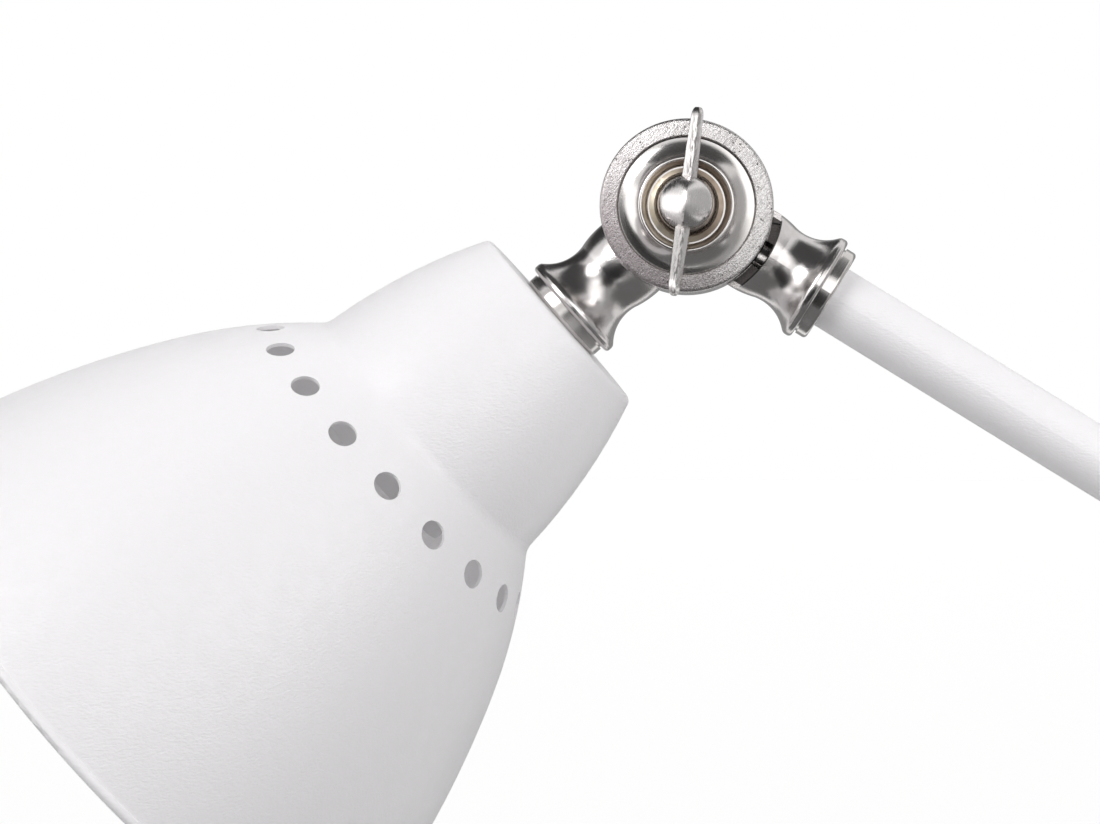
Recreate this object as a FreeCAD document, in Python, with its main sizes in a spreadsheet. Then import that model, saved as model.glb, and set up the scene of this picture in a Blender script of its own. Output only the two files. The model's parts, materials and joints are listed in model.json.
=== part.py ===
import FreeCAD, Part
import math
import os
import re

import Sketcher
from FreeCAD import Placement, Rotation, Vector

# Articulating wall lamp: a white spun shade on a white tube arm, carried by two nickel friction knuckles.
#
# The wall is the plane Y = 0, the lamp stands out from it towards -Y, and Z is up. The origin is the centre
# of the wall cover's back. Both knuckles turn about X. Each half knuckle is drawn about its own centre: its
# local X is the hinge axis, towards the side that its disc lies on, and its local Z runs out along its neck.

# Driving dimensions: name, number, and what it measures. Millimetres, and degrees where it says so.
SIZES = [
    ("arm_lift", 31.8, "degrees that the arm rises from level"),
    ("shade_drop", 41.2, "degrees that the shade points below level"),
    ("arm_span", 280.0, "one knuckle's axis to the other's"),
    ("tube_radius", 8.0, "arm tube, outside"),
    ("tube_wall", 1.0, "arm tube's wall"),
    ("running_gap", 0.1, "between faces that turn on each other"),
    ("fit_gap", 0.05, "round pieces that fit in each other"),
    # half knuckle: its disc
    ("disc_radius", 21.0, "knuckle disc"),
    ("disc_face", 11.0, "disc's outer face from the joint's middle plane"),
    ("rim_round", 0.9, "rounding of the disc's rim"),
    ("disc_crown", 0.15, "how far the ring round the recess falls off to the rim"),
    ("pad_thickness", 0.6, "friction pad between the discs"),
    ("pad_inner", 14.6, "friction pad's inside radius"),
    ("pad_outer", 20.2, "friction pad's outside radius"),
    ("recess_radius", 16.6, "recess for the dished washer"),
    ("recess_depth", 1.5, "recess for the dished washer"),
    ("recess_bevel", 0.4, "bevel of the recess's edge"),
    ("bolt_radius", 3.0, "clamp bolt"),
    ("bolt_clearance", 0.08, "round the clamp bolt"),
    ("channel_inner", 8.2, "ring channel for the wires, inside radius"),
    ("channel_outer", 13.8, "ring channel for the wires, outside radius"),
    ("channel_depth", 5.4, "ring channel for the wires"),
    ("wire_radius", 3.5, "wire passage along the neck"),
    # half knuckle: its neck
    ("neck_length", 38.1, "knuckle's centre to the neck's end"),
    ("root_depth", 6.0, "how far the neck starts inside the disc's rim"),
    ("root_radius", 10.3, "neck where it starts"),
    ("shoulder_round", 22.0, "swelling beside the disc"),
    ("throat_gap", 4.5, "disc's rim to the start of the waist"),
    ("throat_radius", 9.85, "neck where the waist starts"),
    ("waist_round", 10.5, "hollow curve of the waist"),
    ("lip_radius", 13.6, "flared lip"),
    ("lip_drop", 0.6, "how much narrower the waist's end is than the lip"),
    ("lip_rise", 1.2, "waist's end to the lip's crest"),
    ("lip_round", 1.6, "curve up to the lip's crest"),
    ("lip_width", 0.6, "straight part of the lip"),
    ("lip_edge", 0.9, "rounded edge of the lip"),
    ("seat_play", 0.3, "between a disc's rim and the other half's cheeks"),
    ("seat_gap", 2.2, "between a disc's rim and the other half's neck, between the cheeks"),
    ("seat_width", 17.2, "cheek to cheek"),
    ("cheek_front", 2.0, "front of the cheeks from the joint's middle plane"),
    ("thread_radius", 5.0, "threaded wire tubes"),
    ("thread_depth", 11.5, "threaded bore in the neck's end"),
    ("thread_spare", 0.8, "thread left free beyond a wire tube's end"),
    # collars and plugs
    ("collar_radius", 12.0, "collar"),
    ("collar_thickness", 3.3, "collar"),
    ("collar_step", 0.5, "groove between lip and collar"),
    ("collar_round", 0.9, "rounded end of the collar"),
    ("tube_seat", 1.7, "how deep the arm tube sits in its collar"),
    ("plug_length", 14.0, "threaded plug in the arm tube's end"),
    ("plug_reach", 9.0, "how far a wire tube goes into its plug"),
    # clamp washers
    ("dish_radius", 16.3, "dished washer"),
    ("dish_edge", 0.9, "dished washer's thickness at its edge"),
    ("dish_curve", 6.5, "hollow curve of the dished washer"),
    ("crest_radius", 11.1, "raised crest of the dished washer"),
    ("crest_height", 4.2, "raised crest of the dished washer"),
    ("crest_width", 0.9, "raised crest of the dished washer"),
    ("crest_slope", 1.25, "how far the crest's inner side leans in"),
    ("dish_floor", 1.4, "dished washer's thickness inside its crest"),
    ("washer_radius", 9.0, "brass washer"),
    ("washer_thickness", 0.9, "brass washer"),
    # wing nut
    ("boss_radius", 7.8, "foot of the wing nut"),
    ("boss_foot", 1.6, "height of the foot"),
    ("boss_slope", 0.9, "how much the boss narrows to its top"),
    ("boss_height", 4.4, "boss"),
    ("ball_radius", 6.4, "ball"),
    ("ball_height", 8.2, "middle of the ball above the foot"),
    ("ball_waist", 1.0, "how much narrower than its middle the ball is where it meets the boss"),
    ("nut_depth", 7.0, "threaded bore of the wing nut"),
    ("bolt_spare", 0.6, "thread left free beyond the clamp bolt's end"),
    ("wing_reach", 22.4, "wing's tip from the bolt's axis"),
    ("wing_root", 2.0, "wing's root from the bolt's axis"),
    ("wing_root_width", 3.7, "wing's thickness at its root"),
    ("wing_root_height", 5.0, "wing's height at its root"),
    ("wing_root_lift", 4.6, "middle of the wing's root above the foot"),
    ("wing_tip_width", 2.7, "wing's thickness near its tip"),
    ("wing_tip_height", 8.4, "wing's height near its tip"),
    ("wing_tip_lift", 10.4, "middle of the wing's tip above the foot"),
    ("wing_tip_at", 3.6, "how far inside the tip the wing is full"),
    ("wing_end_width", 1.5, "wing's thickness at its very tip"),
    ("wing_end_height", 4.6, "wing's height at its very tip"),
    ("wing_ridge", 1.3, "ridge along the wing's edge"),
    ("head_wing_lean", 7.6, "degrees that the head's wing nut leans from upright"),
    ("wall_wing_lean", -24.0, "degrees that the wall's wing nut leans from upright"),
    # clamp bolt
    ("bolt_head_radius", 6.2, "clamp bolt's head"),
    ("bolt_head_edge", 1.2, "straight edge of the bolt's head"),
    ("bolt_head_dome", 2.6, "dome of the bolt's head"),
    ("key_flats", 4.0, "hexagon socket across its flats"),
    ("key_depth", 2.4, "hexagon socket"),
    # shade
    ("shade_wall", 0.9, "spun sheet"),
    ("cup_top_radius", 26.7, "top of the cup's side"),
    ("cup_edge_width", 1.9, "rounded edge of the cup's flat top"),
    ("cup_edge_drop", 1.3, "rounded edge of the cup's flat top"),
    ("cup_edge_round", 2.0, "rounded edge of the cup's flat top"),
    ("cup_slope", 20.0, "degrees that the top of the cup's side leans out"),
    ("cup_curve", 145.0, "curve of the cup's side"),
    ("cup_height", 41.9, "cup, down to its crease"),
    ("cup_radius", 36.95, "cup at its crease"),
    ("crease_slope", 15.0, "degrees that the cup's side leans out at its crease"),
    ("crease_step", 1.3, "how far the crease spreads"),
    ("crease_drop", 2.85, "height of the crease"),
    ("crease_round", 5.0, "hollow curve of the crease"),
    ("dome_slope", 44.0, "degrees that the dome leans out where it starts"),
    ("dome_spread", 21.55, "how far the dome's shoulder spreads"),
    ("dome_drop", 30.85, "height of the dome's shoulder"),
    ("dome_curve", 135.0, "curve of the dome's shoulder"),
    ("skirt_slope", 27.0, "degrees that the skirt leans out where it starts"),
    ("skirt_curve", 261.0, "curve of the skirt"),
    ("shade_height", 142.6, "flat top to rim"),
    ("rim_radius", 83.0, "rim"),
    ("bead_radius", 1.3, "rolled rim"),
    ("vent_count", 18, "vent holes in their ring"),
    ("vent_radius", 3.4, "vent hole"),
    ("vent_drop", 12.7, "ring of vent holes below the crease"),
    ("vent_slope", 38.5, "degrees that the sheet leans out at the vent holes"),
    ("vent_turn", 13.6, "degrees that the first vent hole is turned from the hinge side"),
    # lampholder
    ("tooth_washer_radius", 9.0, "toothed washer under the shade's top"),
    ("tooth_washer_thickness", 0.8, "toothed washer"),
    ("tooth_count", 12, "teeth of the toothed washer"),
    ("tooth_width", 1.2, "gap between two teeth"),
    ("tooth_depth", 1.5, "gap between two teeth"),
    ("nut_flats", 14.0, "hexagon nuts across their flats"),
    ("nut_thickness", 3.0, "hexagon nuts"),
    ("nut_bevel", 0.6, "bevel of a hexagon nut's corners"),
    ("cap_gap", 0.4, "between nut and lampholder"),
    ("cap_neck_radius", 8.0, "neck of the lampholder's cap"),
    ("cap_neck_height", 7.0, "neck of the lampholder's cap"),
    ("cap_shoulder", 8.4, "height of the cap's dome"),
    ("cap_radius", 19.4, "lampholder's cap"),
    ("cap_side", 6.0, "straight side of the cap"),
    ("cap_curve", 12.0, "dome of the cap"),
    ("cap_wall", 1.6, "lampholder's cap"),
    ("cap_thread", 5.5, "how far the wire tube goes into the cap's neck"),
    ("body_radius", 20.4, "lampholder's body"),
    ("body_length", 36.0, "lampholder's body"),
    ("body_wall", 2.4, "lampholder's body"),
    ("body_lap", 4.0, "how far the body covers the cap"),
    ("body_lip", 1.6, "turned-in mouth of the body"),
    ("mouth_play", 0.5, "between the mouth and the lamp thread's sleeve"),
    ("rib_count", 24, "grip ribs on the lampholder's body"),
    ("rib_radius", 0.7, "grip ribs"),
    ("rib_length", 22.0, "grip ribs"),
    ("shell_radius", 13.35, "lamp thread, inside radius"),
    ("shell_wall", 0.5, "lamp thread's brass sleeve"),
    ("base_thickness", 7.0, "ceramic contact carrier"),
    ("well_radius", 11.0, "well round the centre contact"),
    ("well_depth", 3.8, "well round the centre contact"),
    ("contact_width", 5.0, "centre contact"),
    ("contact_sheet", 0.6, "centre contact's sheet"),
    ("contact_length", 8.0, "centre contact"),
    ("contact_height", 3.2, "centre contact above its carrier"),
    # wall cover and its plate
    ("cover_radius", 55.0, "wall cover"),
    ("cover_depth", 24.0, "wall cover, out from the wall"),
    ("cover_wall", 1.0, "wall cover's sheet"),
    ("cover_skirt", 9.0, "straight side of the wall cover"),
    ("cover_curve", 36.0, "shoulder of the wall cover"),
    ("cover_flat_radius", 25.7, "flat front of the wall cover"),
    ("plate_radius", 22.0, "stiffening plate inside the wall cover"),
    ("plate_sheet", 2.0, "stiffening plate inside the wall cover"),
    ("side_screw_at", 5.0, "cover screws out from the wall"),
    ("side_screw_radius", 1.5, "cover screws"),
    ("side_screw_length", 7.0, "cover screws"),
    ("side_screw_head", 3.0, "cover screws' heads"),
    ("side_screw_dome", 1.8, "cover screws' heads"),
    ("slot_width", 0.8, "screwdriver slots"),
    ("slot_depth", 0.9, "screwdriver slots"),
    # swivel fixings behind the cover
    ("friction_washer_radius", 10.5, "friction washer of the swivel"),
    ("friction_washer_thickness", 0.8, "friction washer of the swivel"),
    ("stop_washer_radius", 9.5, "stop washer of the swivel"),
    ("stop_washer_thickness", 1.2, "stop washer of the swivel"),
    ("stop_tab_reach", 14.5, "tip of the stop washer's tab"),
    ("stop_tab_width", 5.0, "stop washer's tab"),
    ("stop_pin_at", 12.8, "stop pin from the swivel's axis"),
    ("stop_pin_radius", 1.5, "stop pin"),
    ("stop_pin_spare", 0.8, "how far the stop pin stands past the stop washer"),
    ("swivel_tail", 1.5, "wire tube beyond its nut"),
    # wall bracket and terminals
    ("strap_width", 20.0, "wall bracket"),
    ("strap_sheet", 2.0, "wall bracket"),
    ("strap_bend", 3.0, "outside of the wall bracket's bends"),
    ("ear_height", 9.0, "wall bracket's ears"),
    ("ear_gap", 0.3, "between the ears and the wall cover"),
    ("cable_hole_radius", 7.0, "supply cable's hole"),
    ("fixing_spacing", 60.0, "wall screw to wall screw"),
    ("fixing_radius", 2.3, "half the width of a wall screw's slot"),
    ("fixing_length", 12.0, "wall screw's slot, end to end"),
    ("block_at", 16.0, "terminal block from the bracket's centre"),
    ("block_width", 13.0, "terminal block"),
    ("block_height", 10.0, "terminal block"),
    ("block_end", 1.2, "terminal block beyond its outer poles"),
    ("pole_count", 3, "poles of the terminal block"),
    ("pole_pitch", 6.5, "pole to pole"),
    ("clamp_radius", 2.4, "brass clamp of a pole"),
    ("clamp_bore", 1.6, "wire hole of a brass clamp"),
    ("clamp_margin", 1.0, "terminal block beyond its clamps' ends"),
    ("pole_screw_radius", 1.4, "terminal screw"),
    ("pole_screw_sunk", 0.8, "terminal screw below the block's top"),
    ("earth_at", 16.0, "earth screw from the bracket's centre"),
    ("earth_radius", 2.0, "earth screw"),
    ("earth_head", 3.6, "earth screw's head"),
    ("earth_dome", 2.2, "earth screw's head"),
    ("earth_washer", 4.6, "earth screw's washer"),
    ("earth_washer_thickness", 0.8, "earth screw's washer"),
]
NAMES = {name for name, number, note in SIZES}
PIECES = []

doc = FreeCAD.newDocument("wall_lamp")
sheet = doc.addObject("Spreadsheet::Sheet", "Sizes")
for row, (name, number, note) in enumerate(SIZES, start=1):
    sheet.set(f"A{row}", name)
    sheet.set(f"B{row}", str(number))
    sheet.set(f"C{row}", note)
    sheet.setAlias(f"B{row}", name)
doc.recompute()

# Places that several pieces share, in the words of the sheet.
THREAD_BORE = "(thread_radius + fit_gap)"
BOLT_HOLE = "(bolt_radius + bolt_clearance)"
MATING_FACE = "((pad_thickness + running_gap) / 2)"
RECESS_FLOOR = "(disc_face - recess_depth)"
CLAMP_FACE = f"({RECESS_FLOOR} + dish_floor + washer_thickness)"
COLLAR_END = "(neck_length + collar_thickness)"
TUBE_START = f"({COLLAR_END} - tube_seat)"
WIRE_TUBE_START = "(neck_length - thread_depth + thread_spare)"
COVER_FACE = f"({COLLAR_END} + running_gap)"
FRICTION_WASHER_AT = f"({COVER_FACE} + cover_wall + plate_sheet + running_gap)"
STOP_WASHER_AT = f"({FRICTION_WASHER_AT} + friction_washer_thickness)"
SWIVEL_NUT_AT = f"({STOP_WASHER_AT} + stop_washer_thickness)"
SHADE_NUT_AT = f"({COLLAR_END} + shade_wall + tooth_washer_thickness)"
CAP_AT = f"({SHADE_NUT_AT} + nut_thickness + cap_gap)"
CAP_END = f"({CAP_AT} + cap_neck_height + cap_shoulder + cap_side)"
BODY_END = f"({CAP_END} - body_lap + body_length)"
BASE_TOP = f"({CAP_END} + base_thickness)"
SLEEVE_AT = f"({BASE_TOP} + well_depth)"
SLEEVE_END = f"({BODY_END} - body_lip - fit_gap)"
EAR_FACE = "sqrt((cover_radius - cover_wall - ear_gap)^2 - (strap_width / 2)^2)"
BLOCK_TOP = "(strap_sheet + block_height)"
CLAMP_AT = "(strap_sheet + block_height / 2)"


# ---------------------------------------------------------------- drawing tools


def size(expression):
    """The number that an expression in the sheet's words stands for."""
    return float(sheet.evalExpression(expression))


def linked(expression):
    """The same expression, as an object other than the sheet has to write it."""
    return re.sub(r"[A-Za-z_]\w*", lambda w: "Sizes." + w[0] if w[0] in NAMES else w[0], expression)


def stand(origin, out, across):
    """The placement that points local Z along out and local X along across."""
    return Placement(origin, Rotation(across, out.cross(across), out, "ZXY"))


def new_body(label):
    body = doc.addObject("PartDesign::Body", label)
    body.Label = label
    return body


def keep(piece, placement):
    """Puts a finished piece in its place and on the list of those to write out."""
    piece.Placement = placement
    PIECES.append(piece)


def group(label, pieces):
    """One node for several like pieces, each a solid of its own."""
    compound = doc.addObject("Part::Compound", label)
    compound.Label = label
    compound.Links = pieces
    PIECES.append(compound)


def arc_between(start, end, radius):
    """The short arc from start to end: it turns left where the radius is positive, and else right."""
    if radius < 0:
        start, end = end, start
    chord = end - start
    reach = math.sqrt(max(radius**2 - chord.Length**2 / 4, 0.0))
    centre = (start + end) / 2 + Vector(-chord.y, chord.x, 0).normalize() * reach
    angles = [math.atan2(point.y - centre.y, point.x - centre.x) for point in (start, end)]
    return Part.ArcOfCircle(Part.Circle(centre, Vector(0, 0, 1), abs(radius)), *angles)


def hold_point(sketch, side, vertex, x, y):
    """Ties one end of a side, or a circle's centre, to its place."""
    for kind, text, axis in (("DistanceX", x, -2), ("DistanceY", y, -1)):
        number = size(text)
        if abs(number) < 1e-9:
            sketch.addConstraint(Sketcher.Constraint("PointOnObject", side, vertex, axis))
            continue
        index = sketch.addConstraint(Sketcher.Constraint(kind, -1, 1, side, vertex, number))
        sketch.setExpression(f"Constraints[{index}]", linked(text))


def hold_radius(sketch, side, text):
    index = sketch.addConstraint(Sketcher.Constraint("Radius", side, abs(size(text))))
    sketch.setExpression(f"Constraints[{index}]", linked(f"abs({text})"))


def draw_circle(sketch, x, y, radius):
    side = len(sketch.Geometry)
    centre = Vector(size(x), size(y), 0)
    sketch.addGeometry(Part.Circle(centre, Vector(0, 0, 1), size(radius)), False)
    hold_point(sketch, side, 3, x, y)
    hold_radius(sketch, side, radius)


def draw_outline(sketch, corners):
    """A closed outline. A corner is (x, y), or (x, y, radius) where an arc leaves it: see arc_between."""
    first = len(sketch.Geometry)
    points = [Vector(size(corner[0]), size(corner[1]), 0) for corner in corners]
    starts = []
    ends = []
    for corner, start, end in zip(corners, points, points[1:] + points[:1]):
        radius = size(corner[2]) if len(corner) > 2 else 0
        side = arc_between(start, end, radius) if radius else Part.LineSegment(start, end)
        sketch.addGeometry(side, False)
        starts.append(2 if radius < 0 else 1)
        ends.append(1 if radius < 0 else 2)
    for i, corner in enumerate(corners):
        after = (i + 1) % len(corners)
        meet = Sketcher.Constraint("Coincident", first + i, ends[i], first + after, starts[after])
        sketch.addConstraint(meet)
        hold_point(sketch, first + i, starts[i], corner[0], corner[1])
        if len(corner) > 2:
            hold_radius(sketch, first + i, corner[2])


def draw(sketch, shapes):
    """Adds outlines, which are lists of corners, and circles, which are tuples (x, y, radius)."""
    for shape in shapes:
        if isinstance(shape, tuple):
            draw_circle(sketch, *shape)
        else:
            draw_outline(sketch, shape)


def origin_plane(body, role):
    return next(feature for feature in body.Origin.OriginFeatures if feature.Role == role)


def sketch_on(body, name, plane, shift="0"):
    """A sketch on one of the body's own planes, moved out along the plane's normal by shift."""
    sketch = body.newObject("Sketcher::SketchObject", name)
    sketch.AttachmentSupport = [(origin_plane(body, plane), "")]
    sketch.MapMode = "FlatFace"
    if shift != "0":
        sketch.AttachmentOffset = Placement(Vector(0, 0, size(shift)), Rotation())
        sketch.setExpression("AttachmentOffset.Base.z", linked(shift))
    return sketch


def turn(body, name, shapes, axis="V_Axis", cut=False, angle="360"):
    """Turns shapes about the body's Z, V_Axis, or its X, H_Axis, by half the angle each way."""
    sketch = sketch_on(body, name + "_profile", "XZ_Plane")
    draw(sketch, shapes)
    feature = body.newObject("PartDesign::Groove" if cut else "PartDesign::Revolution", name)
    feature.Profile = sketch
    feature.ReferenceAxis = (sketch, [axis])
    feature.Midplane = True
    feature.Angle = size(angle)
    feature.setExpression("Angle", linked(angle))
    body.Tip = feature
    return feature


def extrude(body, name, plane, shapes, length, shift="0", cut=False, both=False):
    """Pads shapes along the plane's normal, or cuts them against it, or half each way."""
    sketch = sketch_on(body, name + "_outline", plane, shift)
    draw(sketch, shapes)
    feature = body.newObject("PartDesign::Pocket" if cut else "PartDesign::Pad", name)
    feature.Profile = sketch
    feature.Length = size(length)
    feature.setExpression("Length", linked(length))
    feature.Midplane = both
    body.Tip = feature
    return feature


def repeat(body, feature, count):
    """Repeats a feature round the body's Z axis."""
    pattern = body.newObject("PartDesign::PolarPattern", feature.Name + "_ring")
    pattern.Originals = [feature]
    pattern.Axis = (origin_plane(body, "Z_Axis"), [""])
    pattern.Angle = 360
    pattern.Occurrences = int(size(count))
    pattern.setExpression("Occurrences", linked(count))
    body.Tip = pattern


def rectangle(left, low, right, high):
    return [(left, low), (right, low), (right, high), (left, high)]


def hexagon(flats):
    """A hexagon about the sketch's origin, with two of its flats level."""
    point = f"{flats} / sqrt(3)"
    half = f"{flats} / 2"
    return [
        (point, "0"),
        (f"{point} / 2", half),
        (f"-{point} / 2", half),
        (f"-{point}", "0"),
        (f"-{point} / 2", f"-{half}"),
        (f"{point} / 2", f"-{half}"),
    ]


def ring(label, placement, inner, outer, low, high):
    """A plain washer, sleeve or tube round local Z."""
    body = new_body(label)
    turn(body, "Ring", [rectangle(inner, low, outer, high)])
    keep(body, placement)


# ---------------------------------------------------------------- knuckles


def knuckle_half(label, placement):
    """A cast half knuckle: a disc on one side of the middle plane, and a waisted neck with a flared lip."""
    body = new_body(label)
    neck = [
        ("0", "disc_radius - root_depth"),
        ("root_radius", "disc_radius - root_depth", "shoulder_round"),
        ("throat_radius", "disc_radius + throat_gap", "-waist_round"),
        ("lip_radius - lip_drop", "neck_length - lip_edge - lip_width - lip_rise", "lip_round"),
        ("lip_radius", "neck_length - lip_edge - lip_width"),
        ("lip_radius", "neck_length - lip_edge", "lip_edge"),
        ("lip_radius - lip_edge", "neck_length"),
        ("0", "neck_length"),
    ]
    turn(body, "Neck", [neck])
    # The other half's disc turns in this seat, which is hollowed deeper between two thin cheeks.
    seat = rectangle("-lip_radius", "0", MATING_FACE, "disc_radius + seat_play")
    turn(body, "Seat", [seat], axis="H_Axis", cut=True)
    hollow = rectangle("-lip_radius", "0", MATING_FACE, "disc_radius + seat_gap")
    hollow_angle = "2 * asin(seat_width / 2 / (disc_radius + seat_gap))"
    turn(body, "Hollow", [hollow], axis="H_Axis", cut=True, angle=hollow_angle)
    over_cheeks = rectangle("-lip_radius", "0", "-cheek_front", "disc_radius + seat_gap")
    turn(body, "Cheek_fronts", [over_cheeks], axis="H_Axis", cut=True)
    crown_width = "(disc_radius - rim_round - recess_radius)"
    crown_edge = "disc_face - disc_crown"
    disc = [
        (MATING_FACE, "0"),
        ("disc_face", "0"),
        ("disc_face", "recess_radius", f"({crown_width}^2 + disc_crown^2) / (2 * disc_crown)"),
        (crown_edge, "disc_radius - rim_round", "rim_round"),
        (f"{crown_edge} - rim_round", "disc_radius"),
        (MATING_FACE, "disc_radius"),
    ]
    turn(body, "Disc", [disc], axis="H_Axis")
    recess = [
        (MATING_FACE, "0"),
        ("disc_face", "0"),
        ("disc_face", "recess_radius + recess_bevel"),
        ("disc_face - recess_bevel", "recess_radius"),
        (RECESS_FLOOR, "recess_radius"),
        (RECESS_FLOOR, BOLT_HOLE),
        (MATING_FACE, BOLT_HOLE),
    ]
    turn(body, "Recess", [recess], axis="H_Axis", cut=True)
    channel_floor = f"{MATING_FACE} + channel_depth"
    channel = rectangle(MATING_FACE, "channel_inner", channel_floor, "channel_outer")
    turn(body, "Wire_channel", [channel], axis="H_Axis", cut=True)
    wire_start = "(channel_inner + channel_outer) / 2"
    wire_way = [
        ("0", wire_start),
        ("wire_radius", wire_start),
        ("wire_radius", "neck_length - thread_depth"),
        (THREAD_BORE, "neck_length - thread_depth"),
        (THREAD_BORE, "neck_length"),
        ("0", "neck_length"),
    ]
    turn(body, "Wire_way", [wire_way], cut=True)
    keep(body, placement)


def collar(label, placement, seats_tube):
    """A rounded ring behind a neck's lip. An arm's collar has a seat for the tube, and others are plain."""
    body = new_body(label)
    groove = "neck_length + collar_step"
    profile = [
        (THREAD_BORE, "neck_length"),
        ("collar_radius - collar_step", "neck_length"),
        ("collar_radius - collar_step", groove),
        ("collar_radius", groove),
        ("collar_radius", f"{COLLAR_END} - collar_round", "collar_round"),
        ("collar_radius - collar_round", COLLAR_END),
    ]
    if seats_tube:
        seat_radius = "tube_radius + fit_gap"
        profile += [(seat_radius, COLLAR_END), (seat_radius, TUBE_START), (THREAD_BORE, TUBE_START)]
    else:
        profile += [(THREAD_BORE, COLLAR_END)]
    turn(body, "Collar", [profile])
    keep(body, placement)


def dished_washer(label, placement):
    """A turned nickel washer, hollow outside and inside its raised crest."""
    body = new_body(label)
    crest_top = f"{RECESS_FLOOR} + crest_height"
    floor_radius = "crest_radius - crest_width / 2 - crest_slope"
    profile = [
        (BOLT_HOLE, RECESS_FLOOR),
        ("dish_radius", RECESS_FLOOR),
        ("dish_radius", f"{RECESS_FLOOR} + dish_edge", "-dish_curve"),
        ("crest_radius + crest_width / 2", crest_top, "crest_width / sqrt(2)"),
        ("crest_radius - crest_width / 2", crest_top),
        (floor_radius, f"{RECESS_FLOOR} + dish_floor"),
        (BOLT_HOLE, f"{RECESS_FLOOR} + dish_floor"),
    ]
    turn(body, "Dish", [profile])
    keep(body, placement)


def wing_section(body, name, reach, width, height, lift):
    """A six-sided section through a wing, with a ridge along its top and bottom."""
    sketch = sketch_on(body, name, "YZ_Plane", reach)
    half_width = f"{width} / 2"
    low = f"{lift} - {height} / 2"
    high = f"{lift} + {height} / 2"
    corners = [
        ("0", f"{low} - wing_ridge"),
        (half_width, low),
        (half_width, high),
        ("0", f"{high} + wing_ridge"),
        (f"-{half_width}", high),
        (f"-{half_width}", low),
    ]
    draw(sketch, [corners])
    return sketch


def wing_nut(label, placement):
    """A cast wing nut with a domed ball and two thin wings, its foot at the local origin."""
    body = new_body(label)
    neck_radius = "(ball_radius - ball_waist)"
    ball_foot = f"ball_height - sqrt(ball_radius^2 - {neck_radius}^2)"
    profile = [
        ("0", "0"),
        ("boss_radius", "0"),
        ("boss_radius", "boss_foot"),
        ("boss_radius - boss_slope", "boss_height"),
        (neck_radius, ball_foot, "ball_radius"),
        ("ball_radius", "ball_height", "ball_radius"),
        ("0", "ball_height + ball_radius"),
    ]
    turn(body, "Ball", [profile])
    root = wing_section(
        body, "Wing_root", "wing_root", "wing_root_width", "wing_root_height", "wing_root_lift"
    )
    full = wing_section(
        body, "Wing_full", "wing_reach - wing_tip_at", "wing_tip_width", "wing_tip_height", "wing_tip_lift"
    )
    tip = wing_section(
        body, "Wing_tip", "wing_reach", "wing_end_width", "wing_end_height", "wing_tip_lift"
    )
    wing = body.newObject("PartDesign::AdditiveLoft", "Wing")
    wing.Profile = root
    wing.Sections = [full, tip]
    wing.Ruled = True
    body.Tip = wing
    pattern = body.newObject("PartDesign::PolarPattern", "Wings")
    pattern.Originals = [wing]
    pattern.Axis = (origin_plane(body, "Z_Axis"), [""])
    pattern.Angle = 360
    pattern.Occurrences = 2
    body.Tip = pattern
    bore = rectangle("0", "0", "bolt_radius + fit_gap", "nut_depth")
    turn(body, "Thread", [bore], cut=True)
    keep(body, placement)


def clamp_bolt(label, placement):
    """The bolt through a knuckle: its domed head lies out along local Z, past the rear washers."""
    body = new_body(label)
    end = f"-({CLAMP_FACE} + running_gap + nut_depth - bolt_spare)"
    edge = f"{CLAMP_FACE} + bolt_head_edge"
    top = f"{CLAMP_FACE} + bolt_head_edge + bolt_head_dome"
    dome = "(bolt_head_radius^2 + bolt_head_dome^2) / (2 * bolt_head_dome)"
    profile = [
        ("0", end),
        ("bolt_radius", end),
        ("bolt_radius", CLAMP_FACE),
        ("bolt_head_radius", CLAMP_FACE),
        ("bolt_head_radius", edge, dome),
        ("0", top),
    ]
    turn(body, "Bolt", [profile])
    extrude(body, "Key", "XY_Plane", [hexagon("key_flats")], "key_depth", shift=top, cut=True)
    keep(body, placement)


# ---------------------------------------------------------------- shade and lampholder


def inside_of(radius, height, slope):
    """The point inside the spun sheet that lies square across it from one outside."""
    return f"{radius} - shade_wall * cos({slope})", f"{height} + shade_wall * sin({slope})"


def shade(placement):
    """A spun sheet shade: a cup with a flat top, a tight crease, a flaring dome, and a rolled rim."""
    body = new_body("shade")
    dome_radius = "(cup_radius + crease_step)"
    dome_at = "(cup_height + crease_drop)"
    skirt_radius = f"({dome_radius} + dome_spread)"
    skirt_at = f"({dome_at} + dome_drop)"
    rim_at = "shade_height - bead_radius"
    outside = [
        (THREAD_BORE, "0"),
        ("cup_top_radius - cup_edge_width", "0", "cup_edge_round"),
        ("cup_top_radius", "cup_edge_drop", "cup_curve"),
        ("cup_radius", "cup_height", "-crease_round"),
        (dome_radius, dome_at, "dome_curve"),
        (skirt_radius, skirt_at, "skirt_curve"),
        ("rim_radius", rim_at),
    ]
    inside = [
        ("rim_radius - shade_wall", rim_at, "shade_wall - skirt_curve"),
        (*inside_of(skirt_radius, skirt_at, "skirt_slope"), "shade_wall - dome_curve"),
        (*inside_of(dome_radius, dome_at, "dome_slope"), "crease_round + shade_wall"),
        (*inside_of("cup_radius", "cup_height", "crease_slope"), "shade_wall - cup_curve"),
        (*inside_of("cup_top_radius", "cup_edge_drop", "cup_slope"), "shade_wall - cup_edge_round"),
        ("cup_top_radius - cup_edge_width", "shade_wall"),
        (THREAD_BORE, "shade_wall"),
    ]
    turn(body, "Sheet", [outside + inside])
    turn(body, "Rolled_rim", [("rim_radius - shade_wall / 2", rim_at, "bead_radius")])
    vent(body, dome_radius, dome_at)
    keep(body, placement)


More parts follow.
